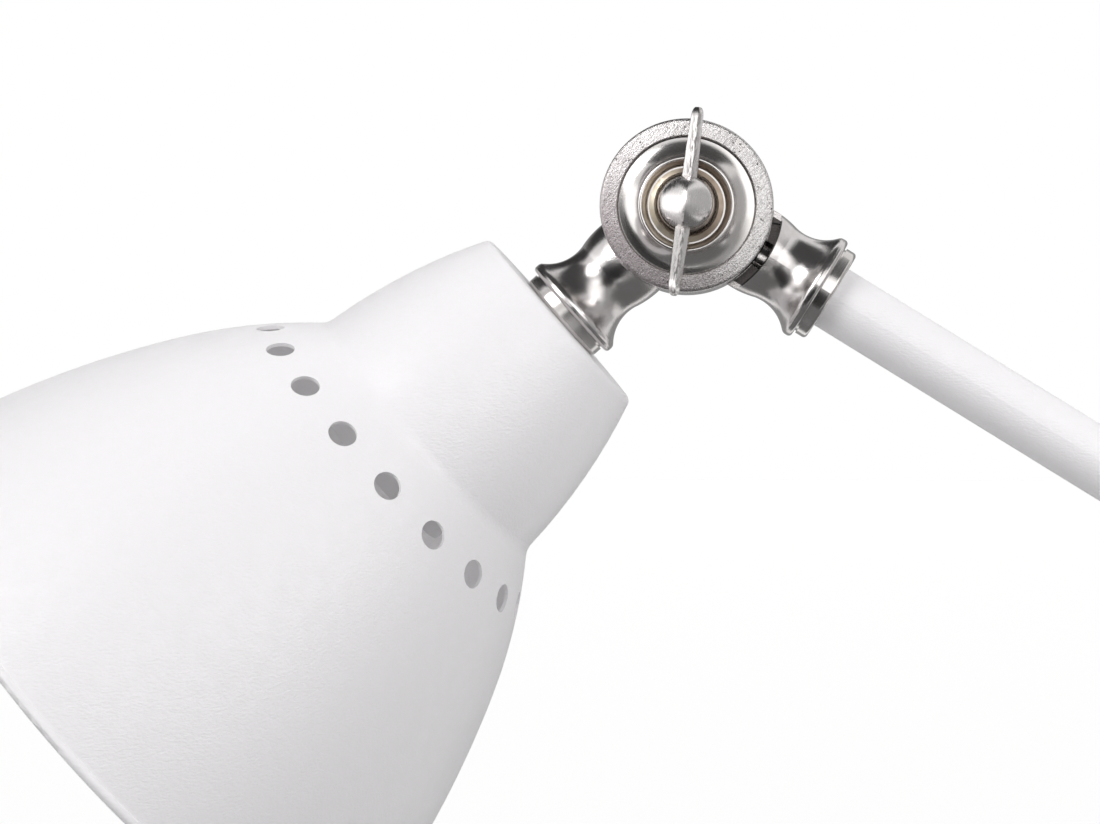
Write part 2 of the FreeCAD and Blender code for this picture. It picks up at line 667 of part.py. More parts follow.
def vent(body, dome_radius, dome_at):
    """The ring of vent holes, punched square to the sheet just below the crease."""
    drop = "(vent_drop - crease_drop)"
    radius = f"{dome_radius} + dome_spread * {drop} / dome_drop"
    height = f"{dome_at} + {drop}"
    sketch = sketch_on(body, "Vent_outline", "XY_Plane")
    lean = Rotation(Vector(0, 1, 0), size("90 + vent_slope"))
    sketch.AttachmentOffset = Placement(Vector(size(radius), 0, size(height)), lean)
    sketch.setExpression("AttachmentOffset.Base.x", linked(radius))
    sketch.setExpression("AttachmentOffset.Base.z", linked(height))
    sketch.setExpression("AttachmentOffset.Rotation.Angle", linked("90 + vent_slope"))
    draw_circle(sketch, "0", "0", "vent_radius")
    hole = body.newObject("PartDesign::Pocket", "Vent")
    hole.Profile = sketch
    hole.Length = size("4 * vent_radius")
    hole.setExpression("Length", linked("4 * vent_radius"))
    hole.Midplane = True
    body.Tip = hole
    repeat(body, hole, "vent_count")


def hexagon_nut(label, placement, low):
    """A thin bevelled nut on a wire tube."""
    body = new_body(label)
    bore = ("0", "0", THREAD_BORE)
    extrude(body, "Nut", "XY_Plane", [hexagon("nut_flats"), bore], "nut_thickness", shift=low)
    corner = "nut_flats / sqrt(3)"
    high = f"{low} + nut_thickness"
    bevel = [
        (f"{corner} - 2 * nut_bevel", high),
        (f"{corner}", f"{high} - nut_bevel"),
        (f"{corner}", high),
    ]
    turn(body, "Bevel", [bevel], cut=True)
    keep(body, placement)


def toothed_washer(placement):
    body = new_body("shade_tooth_washer")
    low = f"{COLLAR_END} + shade_wall"
    profile = rectangle(THREAD_BORE, low, "tooth_washer_radius", f"{low} + tooth_washer_thickness")
    turn(body, "Washer", [profile])
    gap_start = "tooth_washer_radius - tooth_depth"
    gap_end = "tooth_washer_radius + tooth_depth"
    gap = rectangle(gap_start, "-tooth_width / 2", gap_end, "tooth_width / 2")
    high = f"{low} + tooth_washer_thickness"
    tooth = extrude(body, "Tooth_gap", "XY_Plane", [gap], "tooth_washer_thickness", shift=high, cut=True)
    repeat(body, tooth, "tooth_count")
    keep(body, placement)


def holder_cap(placement):
    """The lampholder's domed cap, screwed on the wire tube by its neck."""
    body = new_body("holder_cap")
    shoulder = f"{CAP_AT} + cap_neck_height"
    side = f"{shoulder} + cap_shoulder"
    profile = [
        (THREAD_BORE, CAP_AT),
        ("cap_neck_radius", CAP_AT),
        ("cap_neck_radius", shoulder, "cap_curve"),
        ("cap_radius", side),
        ("cap_radius", CAP_END),
        ("cap_radius - cap_wall", CAP_END),
        ("cap_radius - cap_wall", f"{side} + cap_wall / 2", "cap_wall - cap_curve"),
        ("cap_neck_radius", f"{shoulder} + cap_wall"),
        (THREAD_BORE, f"{shoulder} + cap_wall"),
    ]
    turn(body, "Cap", [profile])
    keep(body, placement)


def holder_body(placement):
    """The lampholder's body: it screws over the cap, holds the inner pieces, and has ribs for the hand."""
    body = new_body("holder_body")
    start = f"{CAP_END} - body_lap"
    cavity = "body_radius - body_wall"
    mouth = "shell_radius + shell_wall + mouth_play"
    profile = [
        ("cap_radius + fit_gap", start),
        ("body_radius", start),
        ("body_radius", BODY_END),
        (mouth, BODY_END),
        (mouth, f"{BODY_END} - body_lip"),
        (cavity, f"{BODY_END} - body_lip"),
        (cavity, CAP_END),
        ("cap_radius + fit_gap", CAP_END),
    ]
    turn(body, "Body", [profile])
    rib_at = f"({start} + {BODY_END} - rib_length) / 2"
    rib_outline = [("body_radius", "0", "rib_radius")]
    rib = extrude(body, "Rib", "XY_Plane", rib_outline, "rib_length", shift=rib_at)
    repeat(body, rib, "rib_count")
    keep(body, placement)


def socket_base(placement):
    """The ceramic carrier of the contacts, between the cap's edge and the lamp thread's sleeve."""
    body = new_body("socket_base")
    edge = "body_radius - body_wall - fit_gap"
    profile = [
        ("0", CAP_END),
        (edge, CAP_END),
        (edge, SLEEVE_AT),
        ("well_radius", SLEEVE_AT),
        ("well_radius", BASE_TOP),
        ("0", BASE_TOP),
    ]
    turn(body, "Base", [profile])
    wire_holes = [("contact_length", "0", "wire_radius / 2"), ("-contact_length", "0", "wire_radius / 2")]
    extrude(body, "Wire_holes", "XY_Plane", wire_holes, "base_thickness", shift=BASE_TOP, cut=True)
    keep(body, placement)


def centre_contact(placement):
    """The bent brass tongue that the lamp's tip presses on."""
    body = new_body("centre_contact")
    low = BASE_TOP
    high = f"{BASE_TOP} + contact_height"
    profile = [
        ("-contact_length / 2", low),
        ("contact_length / 2", low),
        ("contact_length / 2", f"{low} + contact_sheet"),
        ("-contact_length / 4", f"{low} + contact_sheet"),
        ("contact_length / 4", f"{high} - contact_sheet"),
        ("contact_length / 2", f"{high} - contact_sheet"),
        ("contact_length / 2", high),
        ("contact_length / 4 - contact_sheet / 2", high),
        ("-contact_length / 2", f"{low} + contact_sheet"),
    ]
    extrude(body, "Tongue", "XZ_Plane", [profile], "contact_width", both=True)
    keep(body, placement)


# ---------------------------------------------------------------- wall end


def wall_cover(placement):
    """The spun cover that stands on the wall and carries the swivel."""
    body = new_body("wall_cover")
    profile = [
        ("cover_radius - cover_wall", "0"),
        ("cover_radius", "0"),
        ("cover_radius", "cover_skirt", "cover_curve"),
        ("cover_flat_radius", "cover_depth"),
        (THREAD_BORE, "cover_depth"),
        (THREAD_BORE, "cover_depth - cover_wall"),
        ("cover_flat_radius", "cover_depth - cover_wall", "cover_wall - cover_curve"),
        ("cover_radius - cover_wall", "cover_skirt"),
    ]
    turn(body, "Sheet", [profile])
    hole = [("0", "side_screw_at", "side_screw_radius + fit_gap")]
    extrude(body, "Screw_holes", "XZ_Plane", hole, "3 * cover_radius", cut=True, both=True)
    keep(body, placement)


def stop_washer(placement):
    """A washer keyed to the swivel, whose tab meets the stop pin before the supply wires twist too far."""
    body = new_body("swivel_stop_washer")
    high = f"{STOP_WASHER_AT} + stop_washer_thickness"
    turn(body, "Washer", [rectangle(THREAD_BORE, STOP_WASHER_AT, "stop_washer_radius", high)])
    tab = rectangle("-stop_tab_width / 2", THREAD_BORE, "stop_tab_width / 2", "stop_tab_reach")
    extrude(body, "Tab", "XY_Plane", [tab], "stop_washer_thickness", shift=STOP_WASHER_AT)
    bore = [("0", "0", THREAD_BORE)]
    extrude(body, "Bore", "XY_Plane", bore, "stop_washer_thickness", shift=high, cut=True)
    keep(body, placement)


def wall_bracket():
    """A steel strap screwed to the wall, with two bent ears that the cover's side screws go into."""
    body = new_body("wall_bracket")
    inner_bend = "strap_sheet - strap_bend"
    ear = [
        ("0", f"{EAR_FACE} - strap_bend", "strap_bend"),
        ("-strap_bend", EAR_FACE),
        ("-ear_height", EAR_FACE),
        ("-ear_height", f"{EAR_FACE} - strap_sheet"),
        ("-strap_bend", f"{EAR_FACE} - strap_sheet", inner_bend),
        ("-strap_sheet", f"{EAR_FACE} - strap_bend"),
    ]
    other_ear = [
        ("-strap_sheet", f"strap_bend - {EAR_FACE}", inner_bend),
        ("-strap_bend", f"strap_sheet - {EAR_FACE}"),
        ("-ear_height", f"strap_sheet - {EAR_FACE}"),
        ("-ear_height", f"-{EAR_FACE}"),
        ("-strap_bend", f"-{EAR_FACE}", "strap_bend"),
        ("0", f"strap_bend - {EAR_FACE}"),
    ]
    extrude(body, "Strap", "YZ_Plane", [ear + other_ear], "strap_width", both=True)
    holes = [
        ("0", "0", "cable_hole_radius"),
        ("0", "-earth_at", "earth_radius + fit_gap"),
        fixing_slot("fixing_spacing / 2"),
        fixing_slot("-fixing_spacing / 2"),
    ]
    extrude(body, "Wall_holes", "XZ_Plane", holes, "4 * strap_sheet", cut=True, both=True)
    ear_hole = [("0", "-side_screw_at", "side_screw_radius + fit_gap")]
    extrude(body, "Ear_holes", "XY_Plane", ear_hole, "3 * cover_radius", cut=True, both=True)
    keep(body, Placement())


def fixing_slot(middle):
    """A round-ended slot up and down the strap, for one wall screw."""
    low = f"{middle} - fixing_length / 2"
    high = f"{middle} + fixing_length / 2"
    return [
        ("fixing_radius", f"{low} + fixing_radius"),
        ("fixing_radius", f"{high} - fixing_radius", "fixing_radius"),
        ("0", high, "fixing_radius"),
        ("-fixing_radius", f"{high} - fixing_radius"),
        ("-fixing_radius", f"{low} + fixing_radius", "fixing_radius"),
        ("0", low, "fixing_radius"),
    ]


def slotted_screw(label, placement, radius, length, head, dome):
    """A domed screw along local Z, with the underside of its head at the local origin. It isn't kept yet."""
    body = new_body(label)
    profile = [
        ("0", f"-({length})"),
        (radius, f"-({length})"),
        (radius, "0"),
        (head, "0", f"({head}^2 + {dome}^2) / (2 * {dome})"),
        ("0", dome),
    ]
    turn(body, "Screw", [profile])
    slot = rectangle(f"-{head}", "-slot_width / 2", head, "slot_width / 2")
    extrude(body, "Slot", "XY_Plane", [slot], "slot_depth", shift=dome, cut=True)
    body.Placement = placement
    return body


def cover_screws():
    screws = []
    for number, way in enumerate((UP, -UP), start=1):
        place = stand(way * size("cover_radius") + OUT * size("side_screw_at"), way, HINGE)
        shank = ("side_screw_radius", "side_screw_length")
        screw_head = ("side_screw_head", "side_screw_dome")
        screws.append(slotted_screw(f"cover_screw_{number}", place, *shank, *screw_head))
    group("cover_screws", screws)


def pole_places():
    """Where the terminal block's poles lie along it."""
    count = int(size("pole_count"))
    return [f"({i} - (pole_count - 1) / 2) * pole_pitch" for i in range(count)]


def terminal_block(placement):
    """A plastic block with a clamp in each pole: wires go in at its sides, and screws in at its front."""
    body = new_body("terminal_block")
    half_length = "(pole_count * pole_pitch / 2 + block_end)"
    footprint = rectangle(f"-{half_length}", "-block_width / 2", half_length, "block_width / 2")
    extrude(body, "Block", "XY_Plane", [footprint], "block_height", shift="strap_sheet")
    clamps = [(place, CLAMP_AT, "clamp_radius + fit_gap") for place in pole_places()]
    extrude(body, "Clamp_bores", "XZ_Plane", clamps, "2 * block_width", cut=True, both=True)
    screws = [(place, "0", "pole_screw_radius + fit_gap") for place in pole_places()]
    extrude(body, "Screw_bores", "XY_Plane", screws, "block_height / 2", shift=BLOCK_TOP, cut=True)
    keep(body, placement)


def terminal_clamps(placement):
    clamps = []
    for number, place in enumerate(pole_places(), start=1):
        body = new_body(f"terminal_clamp_{number}")
        tube = [(place, CLAMP_AT, "clamp_radius"), (place, CLAMP_AT, "clamp_bore")]
        extrude(body, "Tube", "XZ_Plane", tube, "block_width - 2 * clamp_margin", both=True)
        screw_way = [(place, "0", "pole_screw_radius + fit_gap")]
        extrude(body, "Screw_way", "XY_Plane", screw_way, "block_height / 2", shift=BLOCK_TOP, cut=True)
        body.Placement = placement
        clamps.append(body)
    group("terminal_clamps", clamps)


def terminal_screws(placement):
    screws = []
    for number, place in enumerate(pole_places(), start=1):
        body = new_body(f"terminal_screw_{number}")
        top = f"{BLOCK_TOP} - pole_screw_sunk"
        foot = f"({CLAMP_AT} + clamp_bore / 2)"
        shank = (place, "0", "pole_screw_radius")
        extrude(body, "Screw", "XY_Plane", [shank], f"{top} - {foot}", shift=foot)
        slot_start = f"{place} - 2 * pole_screw_radius"
        slot_end = f"{place} + 2 * pole_screw_radius"
        slot = rectangle(slot_start, "-slot_width / 2", slot_end, "slot_width / 2")
        extrude(body, "Slot", "XY_Plane", [slot], "slot_depth", shift=top, cut=True)
        body.Placement = placement
        screws.append(body)
    group("terminal_screws", screws)


# ---------------------------------------------------------------- assembly

HINGE = Vector(1, 0, 0)
UP = Vector(0, 0, 1)
OUT = Vector(0, -1, 0)


def heading(degrees):
    """The direction that rises by so many degrees while it leads away from the wall."""
    angle = math.radians(degrees)
    return OUT * math.cos(angle) + UP * math.sin(angle)


def leaning(degrees):
    """The direction that leans from upright towards the wall."""
    angle = math.radians(degrees)
    return UP * math.cos(angle) - OUT * math.sin(angle)


def clamp_side(where, centre, side):
    """The dished and brass washers on one side of a knuckle."""
    along = stand(centre, side, UP)
    dished_washer(f"{where}_dish_washer", along)
    floor = f"{RECESS_FLOOR} + dish_floor"
    ring(f"{where}_brass_washer", along, BOLT_HOLE, "washer_radius", floor, CLAMP_FACE)


def wall_end():
    """What is fixed to the wall."""
    facing_out = stand(Vector(), OUT, HINGE)
    wall_bracket()
    wall_cover(facing_out)
    plate_low = "cover_depth - cover_wall - plate_sheet"
    ring("cover_plate", facing_out, THREAD_BORE, "plate_radius", plate_low, "cover_depth - cover_wall")
    cover_screws()
    pin_reach = "running_gap + friction_washer_thickness + stop_washer_thickness + stop_pin_spare"
    pin_place = stand(UP * size("stop_pin_at"), OUT, HINGE)
    ring("stop_pin", pin_place, "0", "stop_pin_radius", f"{plate_low} - ({pin_reach})", plate_low)
    block_place = stand(UP * size("block_at"), OUT, HINGE)
    terminal_block(block_place)
    terminal_clamps(block_place)
    terminal_screws(block_place)
    earth_seat = OUT * size("strap_sheet") - UP * size("earth_at")
    earth_place = stand(earth_seat, OUT, HINGE)
    earth_hole = "earth_radius + fit_gap"
    ring("earth_washer", earth_place, earth_hole, "earth_washer", "0", "earth_washer_thickness")
    screw_place = stand(earth_seat + OUT * size("earth_washer_thickness"), OUT, HINGE)
    length = "strap_sheet + earth_washer_thickness"
    screw = slotted_screw("earth_screw", screw_place, "earth_radius", length, "earth_head", "earth_dome")
    PIECES.append(screw)


def swivel(centre):
    """The half knuckle that turns on the wall cover, and what clamps it there."""
    along = stand(centre, -OUT, HINGE)
    knuckle_half("wall_knuckle_half", along)
    collar("wall_collar", along, seats_tube=False)
    tail = f"{SWIVEL_NUT_AT} + nut_thickness + swivel_tail"
    ring("wall_wire_tube", along, "wire_radius", "thread_radius", WIRE_TUBE_START, tail)
    washer_span = (FRICTION_WASHER_AT, STOP_WASHER_AT)
    ring("swivel_friction_washer", along, THREAD_BORE, "friction_washer_radius", *washer_span)
    stop_washer(along)
    hexagon_nut("swivel_lock_nut", along, SWIVEL_NUT_AT)
    clamp_side("wall", centre, HINGE)


def arm_end(where, centre, along_arm):
    """One end of the arm: the rear half knuckle, and the pieces between it and the tube."""
    along = stand(centre, along_arm, -HINGE)
    knuckle_half(f"{where}_knuckle_half", along)
    collar(f"{where}_collar", along, seats_tube=True)
    plug_end = f"{TUBE_START} + plug_length"
    wire_tube_end = f"{TUBE_START} + plug_reach"
    ring(f"{where}_wire_tube", along, "wire_radius", "thread_radius", WIRE_TUBE_START, wire_tube_end)
    plug_radius = "tube_radius - tube_wall - fit_gap"
    ring(f"{where}_tube_plug", along, THREAD_BORE, plug_radius, TUBE_START, plug_end)
    rear = stand(centre, -HINGE, UP)
    pad_low = f"{MATING_FACE} - pad_thickness"
    ring(f"{where}_friction_pad", rear, "pad_inner", "pad_outer", pad_low, MATING_FACE)
    clamp_side(where, centre, -HINGE)
    clamp_bolt(f"{where}_clamp_bolt", rear)


def arm(wall_knuckle, head_knuckle, along_arm):
    arm_end("lower", wall_knuckle, along_arm)
    tube_place = stand(wall_knuckle, along_arm, -HINGE)
    tube_end = f"arm_span - {TUBE_START}"
    ring("arm_tube", tube_place, "tube_radius - tube_wall", "tube_radius", TUBE_START, tube_end)
    arm_end("upper", head_knuckle, -along_arm)


def head(centre, along_shade):
    """The half knuckle in front of the arm's, the shade, and the lampholder."""
    along = stand(centre, along_shade, HINGE)
    knuckle_half("head_knuckle_half", along)
    clamp_side("head", centre, HINGE)
    collar("head_collar", along, seats_tube=False)
    ring("head_wire_tube", along, "wire_radius", "thread_radius", WIRE_TUBE_START, f"{CAP_AT} + cap_thread")
    turned = Rotation(along_shade, size("vent_turn"))
    shade_place = stand(centre + along_shade * size(COLLAR_END), along_shade, turned.multVec(HINGE))
    shade(shade_place)
    toothed_washer(along)
    hexagon_nut("shade_lock_nut", along, SHADE_NUT_AT)
    holder_cap(along)
    holder_body(along)
    socket_base(along)
    sleeve_radius = "shell_radius + shell_wall"
    ring("socket_shell", along, "shell_radius", sleeve_radius, SLEEVE_AT, SLEEVE_END)
    centre_contact(along)


def wing_nuts(wall_knuckle, head_knuckle):
    lift = HINGE * size(f"{CLAMP_FACE} + running_gap")
    head_way = leaning(size("head_wing_lean"))
    wing_nut("head_wing_nut", stand(head_knuckle + lift, HINGE, head_way))
    wall_way = leaning(size("wall_wing_lean"))
    wing_nut("wall_wing_nut", stand(wall_knuckle + lift, HINGE, wall_way))


def check_and_write():
    """Stops at anything that failed, and else writes each piece to its own file."""
    doc.recompute()
    failed = [item.Label for item in doc.Objects if {"Invalid", "Error"} & set(item.State)]
    failed += [piece.Label for piece in PIECES if piece.Shape.isNull() or not piece.Shape.isValid()]
    if failed:
        raise RuntimeError("not built: " + ", ".join(failed))
    os.makedirs("parts", exist_ok=True)
    for piece in PIECES:
        piece.Shape.exportStep(f"parts/{piece.Label}.step")


def build():
    along_arm = heading(size("arm_lift"))
    along_shade = heading(-size("shade_drop"))
    wall_knuckle = OUT * size(f"cover_depth + {COVER_FACE}")
    head_knuckle = wall_knuckle + along_arm * size("arm_span")
    wall_end()
    swivel(wall_knuckle)
    arm(wall_knuckle, head_knuckle, along_arm)
    head(head_knuckle, along_shade)
    wing_nuts(wall_knuckle, head_knuckle)
    check_and_write()


build()
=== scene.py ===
import json
import math

import bmesh
import bpy
from mathutils import Matrix, Vector


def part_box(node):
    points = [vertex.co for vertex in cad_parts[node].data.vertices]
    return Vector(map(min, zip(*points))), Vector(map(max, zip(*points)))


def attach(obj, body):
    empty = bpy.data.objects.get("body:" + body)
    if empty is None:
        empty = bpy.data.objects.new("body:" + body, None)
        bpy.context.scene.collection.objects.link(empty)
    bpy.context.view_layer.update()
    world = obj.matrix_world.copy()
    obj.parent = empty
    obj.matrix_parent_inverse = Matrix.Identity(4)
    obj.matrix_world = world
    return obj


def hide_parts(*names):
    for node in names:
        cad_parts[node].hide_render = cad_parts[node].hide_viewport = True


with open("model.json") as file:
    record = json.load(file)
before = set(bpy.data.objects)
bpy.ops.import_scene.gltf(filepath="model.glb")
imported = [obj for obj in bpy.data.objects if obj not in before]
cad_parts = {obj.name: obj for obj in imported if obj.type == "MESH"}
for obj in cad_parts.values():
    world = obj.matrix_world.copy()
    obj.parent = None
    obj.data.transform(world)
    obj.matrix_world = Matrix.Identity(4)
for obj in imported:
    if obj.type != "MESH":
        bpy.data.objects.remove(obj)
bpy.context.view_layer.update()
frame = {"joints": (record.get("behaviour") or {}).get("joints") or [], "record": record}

# ---------------------------------------------------------------- camera
# A macro view of the head knuckle from the lamp's right-hand side and a few degrees below it, so that the
# shade runs out of the frame at the lower left and the arm at the lower right.
PHOTO_WIDTH = 1100
FOCAL_PIXELS = 2700
SENSOR = 36.0
NEAREST_SEEN = 0.01
FARTHEST_SEEN = 60.0
CAMERA_FROM_KNUCKLE = Vector((0.6633, 0.0059, -0.0449))
CAMERA_YAW = 3.41
CAMERA_PITCH = 0.44

joint_at = {joint["name"]: Vector(joint["pos_m"]) for joint in frame["joints"]}
head_centre = joint_at["head_tilt"]
wall_centre = joint_at["arm_tilt"]


def in_scene(name, data):
    """Puts a camera, a lamp or a mesh into the scene as an object."""
    made = bpy.data.objects.new(name, data)
    bpy.context.scene.collection.objects.link(made)
    return made


def direction(right, above):
    """A direction from its degrees to the right of +X, as the camera sees it, and above level."""
    right, above = math.radians(right), math.radians(above)
    return Vector((math.cos(above) * math.cos(right), math.cos(above) * math.sin(right), math.sin(above)))


def look(thing, way):
    """Turns a camera, a lamp or a card to look in a direction."""
    thing.rotation_mode = "QUATERNION"
    thing.rotation_quaternion = way.to_track_quat("-Z", "Y")


camera = in_scene("camera", bpy.data.cameras.new("camera"))
bpy.context.scene.camera = camera
bpy.context.scene.view_settings.view_transform = "Standard"
camera.data.sensor_width = SENSOR
camera.data.lens = SENSOR * FOCAL_PIXELS / PHOTO_WIDTH
camera.data.clip_start = NEAREST_SEEN
camera.data.clip_end = FARTHEST_SEEN
camera.location = head_centre + CAMERA_FROM_KNUCKLE
look(camera, -direction(CAMERA_YAW, CAMERA_PITCH))

# ---------------------------------------------------------------- studio
# A white surround and a pale floor. A soft box lights the shade's side and shows in the metal, and three
# lamps, on the arm's side, overhead and behind, give light alone. Cards stand round the knuckle as the panels
# of a light tent do, some bright and some nearly black, and only shiny surfaces see them.
WHITE = (1, 1, 1, 1)
SURROUND_GLOW = 0.33
FLOOR_AT = -0.9
FLOOR_ACROSS = 60.0
FLOOR_GREY = (0.86, 0.86, 0.86)
FLOOR_ROUGHNESS = 0.9
FLOOR_LIFT = 0.66
CARD_FADE = 0.35


def add(tree, kind, inputs=None, **settings):
    """A shader node, with its settings, its inputs' values and the links into it."""
    made = tree.nodes.new("ShaderNode" + kind)
    for name, value in settings.items():
        setattr(made, name, value)
    for name, value in (inputs or {}).items():
        if isinstance(value, bpy.types.NodeSocket):
            tree.links.new(value, made.inputs[name])
        else:
            made.inputs[name].default_value = value
    return made


def both(tree, first, second, operation="MULTIPLY"):
    """Two numbers as one: their product, where nothing else is asked for."""
    return add(tree, "Math", {0: first, 1: second}, operation=operation).outputs[0]


def magnitude(tree, value):
    """A number without its sign."""
    return add(tree, "Math", {0: value}, operation="ABSOLUTE").outputs[0]


def new_finish(name, colour, roughness, metal=False):
    """A material with plain values on its shader. Its node tree and its shader come back with it."""
    material = bpy.data.materials.new(name)
    material.use_nodes = True
    shader = material.node_tree.nodes["Principled BSDF"]
    shader.inputs["Base Color"].default_value = (*colour, 1)
    shader.inputs["Metallic"].default_value = float(metal)
    shader.inputs["Roughness"].default_value = roughness
    return material, material.node_tree, shader


def seen_directly_or_mirrored(tree):
    """1 for what the camera sees straight, in metal or through glass."""
    path = add(tree, "LightPath")
    straight_or_gloss = both(tree, path.outputs["Is Camera Ray"], path.outputs["Is Glossy Ray"], "MAXIMUM")
    return both(tree, straight_or_gloss, path.outputs["Is Transmission Ray"], "MAXIMUM")


def flat_sheet(name, width, height, above=0.0):
    """A rectangle's mesh about the origin, this far above it."""
    mesh = bpy.data.meshes.new(name)
    corners = ((-1, -1), (1, -1), (1, 1), (-1, 1))
    mesh.from_pydata([(x * width / 2, y * height / 2, above) for x, y in corners], [], [(0, 1, 2, 3)])
    return mesh


def facing_the_knuckle(thing, place, distance):
    """Stands a lamp or a card off the head knuckle, at a place in degrees to the right and above level, and
    turns it towards the knuckle."""
    away = direction(*place)
    thing.location = head_centre + away * distance
    look(thing, -away)


def soft_lamp(name, place, distance, width, height, brightness, mirrored=True):
    """A soft box. Its brightness is what a mirror shows of it, where 1 is white, unless it isn't mirrored."""
    lamp = in_scene(name, bpy.data.lights.new(name, "AREA"))
    lamp.data.shape = "RECTANGLE"
    lamp.data.size = width
    lamp.data.size_y = height
    lamp.data.energy = brightness * width * height * math.pi
    lamp.visible_glossy = mirrored
    facing_the_knuckle(lamp, place, distance)


def soft_card(name, place, distance, width, height, brightness):
    """A card with a faded border that only shiny surfaces see."""
    cloth = bpy.data.materials.new(name)
    cloth.use_nodes = True
    tree = cloth.node_tree
    tree.nodes.clear()
    own = add(tree, "SeparateXYZ", {0: add(tree, "TexCoord").outputs["Object"]})
    inward = [both(tree, half, magnitude(tree, own.outputs[axis]), "SUBTRACT")
              for axis, half in ((0, width / 2), (1, height / 2))]
    solid = add(tree, "MapRange", {"Value": both(tree, *inward, "MINIMUM"), "From Max": CARD_FADE},
                interpolation_type="SMOOTHSTEP").outputs[0]
    clear = add(tree, "BsdfTransparent").outputs[0]
    grey = (brightness, brightness, brightness, 1)
    glow = add(tree, "Emission", {"Color": grey, "Strength": 1.0}).outputs[0]
    blend = add(tree, "MixShader", {0: solid, 1: clear, 2: glow})
    add(tree, "OutputMaterial", {"Surface": blend.outputs[0]})
    card = in_scene(name, flat_sheet(name, width, height))
    card.data.materials.append(cloth)
    card.visible_camera = False
    card.visible_diffuse = False
    card.visible_shadow = False
    facing_the_knuckle(card, place, distance)


world = bpy.data.worlds.new("white_surround")
bpy.context.scene.world = world
world.use_nodes = True
tree = world.node_tree
tree.nodes.clear()
glow = add(tree, "Background", {"Color": WHITE, "Strength": SURROUND_GLOW})
white = add(tree, "Background", {"Color": WHITE, "Strength": 1.0})
either = add(tree, "MixShader", {0: seen_directly_or_mirrored(tree), 1: glow.outputs[0], 2: white.outputs[0]})
add(tree, "OutputWorld", {"Surface": either.outputs[0]})

floor_paint, tree, shader = new_finish("floor_paint", FLOOR_GREY, FLOOR_ROUGHNESS)
shader.inputs["Emission Color"].default_value = WHITE
tree.links.new(both(tree, seen_directly_or_mirrored(tree), FLOOR_LIFT), shader.inputs["Emission Strength"])
floor = in_scene("floor", flat_sheet("floor", FLOOR_ACROSS, FLOOR_ACROSS, FLOOR_AT))
floor.data.materials.append(floor_paint)

# Each row: the place in degrees to the right and above level, the distance, width and height in metres, and
# the brightness, where 1 is white.
soft_lamp("shade_side_lamp", (-38, 28), 1.3, 0.66, 0.64, 4.9)
soft_lamp("arm_side_lamp", (50, 20), 0.8, 0.45, 0.7, 3.3, mirrored=False)
soft_lamp("overhead_lamp", (-75, 58), 1.3, 1.5, 1.0, 1.3, mirrored=False)
soft_lamp("back_lamp", (170, 28), 1.4, 1.5, 1.0, 1.5, mirrored=False)
soft_card("card_behind_camera", (25, 11), 2.2, 3.0, 1.6, 1.9)
soft_card("card_under_camera", (-26, -26), 1.6, 2.8, 2.0, 0.03)
soft_card("card_low_arm_side", (48, -42), 1.5, 2.4, 1.9, 0.42)
soft_card("card_beside_camera", (-27, 0), 1.55, 0.9, 0.75, 0.10)
soft_card("card_shade_side", (-78, -4), 1.7, 2.5, 2.2, 1.75)
soft_card("card_behind_lamp", (180, -5), 1.7, 4.0, 2.8, 0.34)
soft_card("card_high_behind", (-140, 42), 1.5, 2.6, 1.4, 0.05)
soft_card("card_wall_side", (84, 0), 1.8, 2.8, 2.8, 0.55)
soft_card("card_overhead", (0, 73), 1.7, 3.0, 3.0, 0.08)
soft_card("card_below", (0, -86), 0.85, 2.1, 2.1, 0.18)

# ---------------------------------------------------------------- wall bracket and earth screw
# A strap of pressed steel, zinc plated, that two wall screws hold against the wall. The cover's screws bite
# into its two ears, and the earth screw clamps the earth wire under a washer.
ZINC = (0.60, 0.61, 0.63)
ZINC_BLOOM = (0.56, 0.57, 0.52)
ZINC_BLOOM_SIZE = 0.004
ZINC_BLOOM_MOST = 0.5
ZINC_GLOSS = (0.28, 0.44)
ROLLED_LINE = 0.00035
ROLLED_STRETCH = (1, 1, 6)
ROLLED_DEPTH = 0.000012


def place_on_piece(tree, centre=(0, 0, 0), turn=(0, 0, 0), stretch=(1, 1, 1)):
    """Coordinates that ride on the piece, from a centre, turned and then drawn out by a factor each way."""
    own = add(tree, "TexCoord").outputs["Object"]
    return add(tree, "Mapping", {"Vector": own, "Location": centre, "Rotation": turn, "Scale": stretch},
               vector_type="TEXTURE").outputs[0]


def patches(tree, where, size, detail=2.0):
    """Soft random patches, from 0 to 1, of about this many metres across."""
    return add(tree, "TexNoise", {"Vector": where, "Scale": 1 / size, "Detail": detail}).outputs[0]


def spread(tree, value, low, high, start=0.35, end=0.65):
    """The value's middle range spread from low to high."""
    return add(tree, "MapRange", {"Value": value, "From Min": start, "From Max": end,
                                  "To Min": low, "To Max": high}).outputs[0]


def tint(tree, shader, amount, colour):
    """Mixes a second colour into the shader's own one."""
    base = shader.inputs["Base Color"]
    under = base.links[0].from_socket if base.links else tuple(base.default_value)
    mixed = add(tree, "Mix", {0: amount, 6: under, 7: (*colour, 1)}, data_type="RGBA").outputs[2]
    tree.links.new(mixed, base)


def gloss(tree, shader, roughness):
    """Lets a pattern set how rough the surface is."""
    tree.links.new(roughness, shader.inputs["Roughness"])


def relief(tree, shader, height, depth):
    """Lays a relief of this many metres over what the surface has already."""
    bump = add(tree, "Bump", {"Height": height, "Distance": depth, "Strength": 1.0})
    for earlier in shader.inputs["Normal"].links:
        tree.links.new(earlier.from_socket, bump.inputs["Normal"])
    tree.links.new(bump.outputs[0], shader.inputs["Normal"])


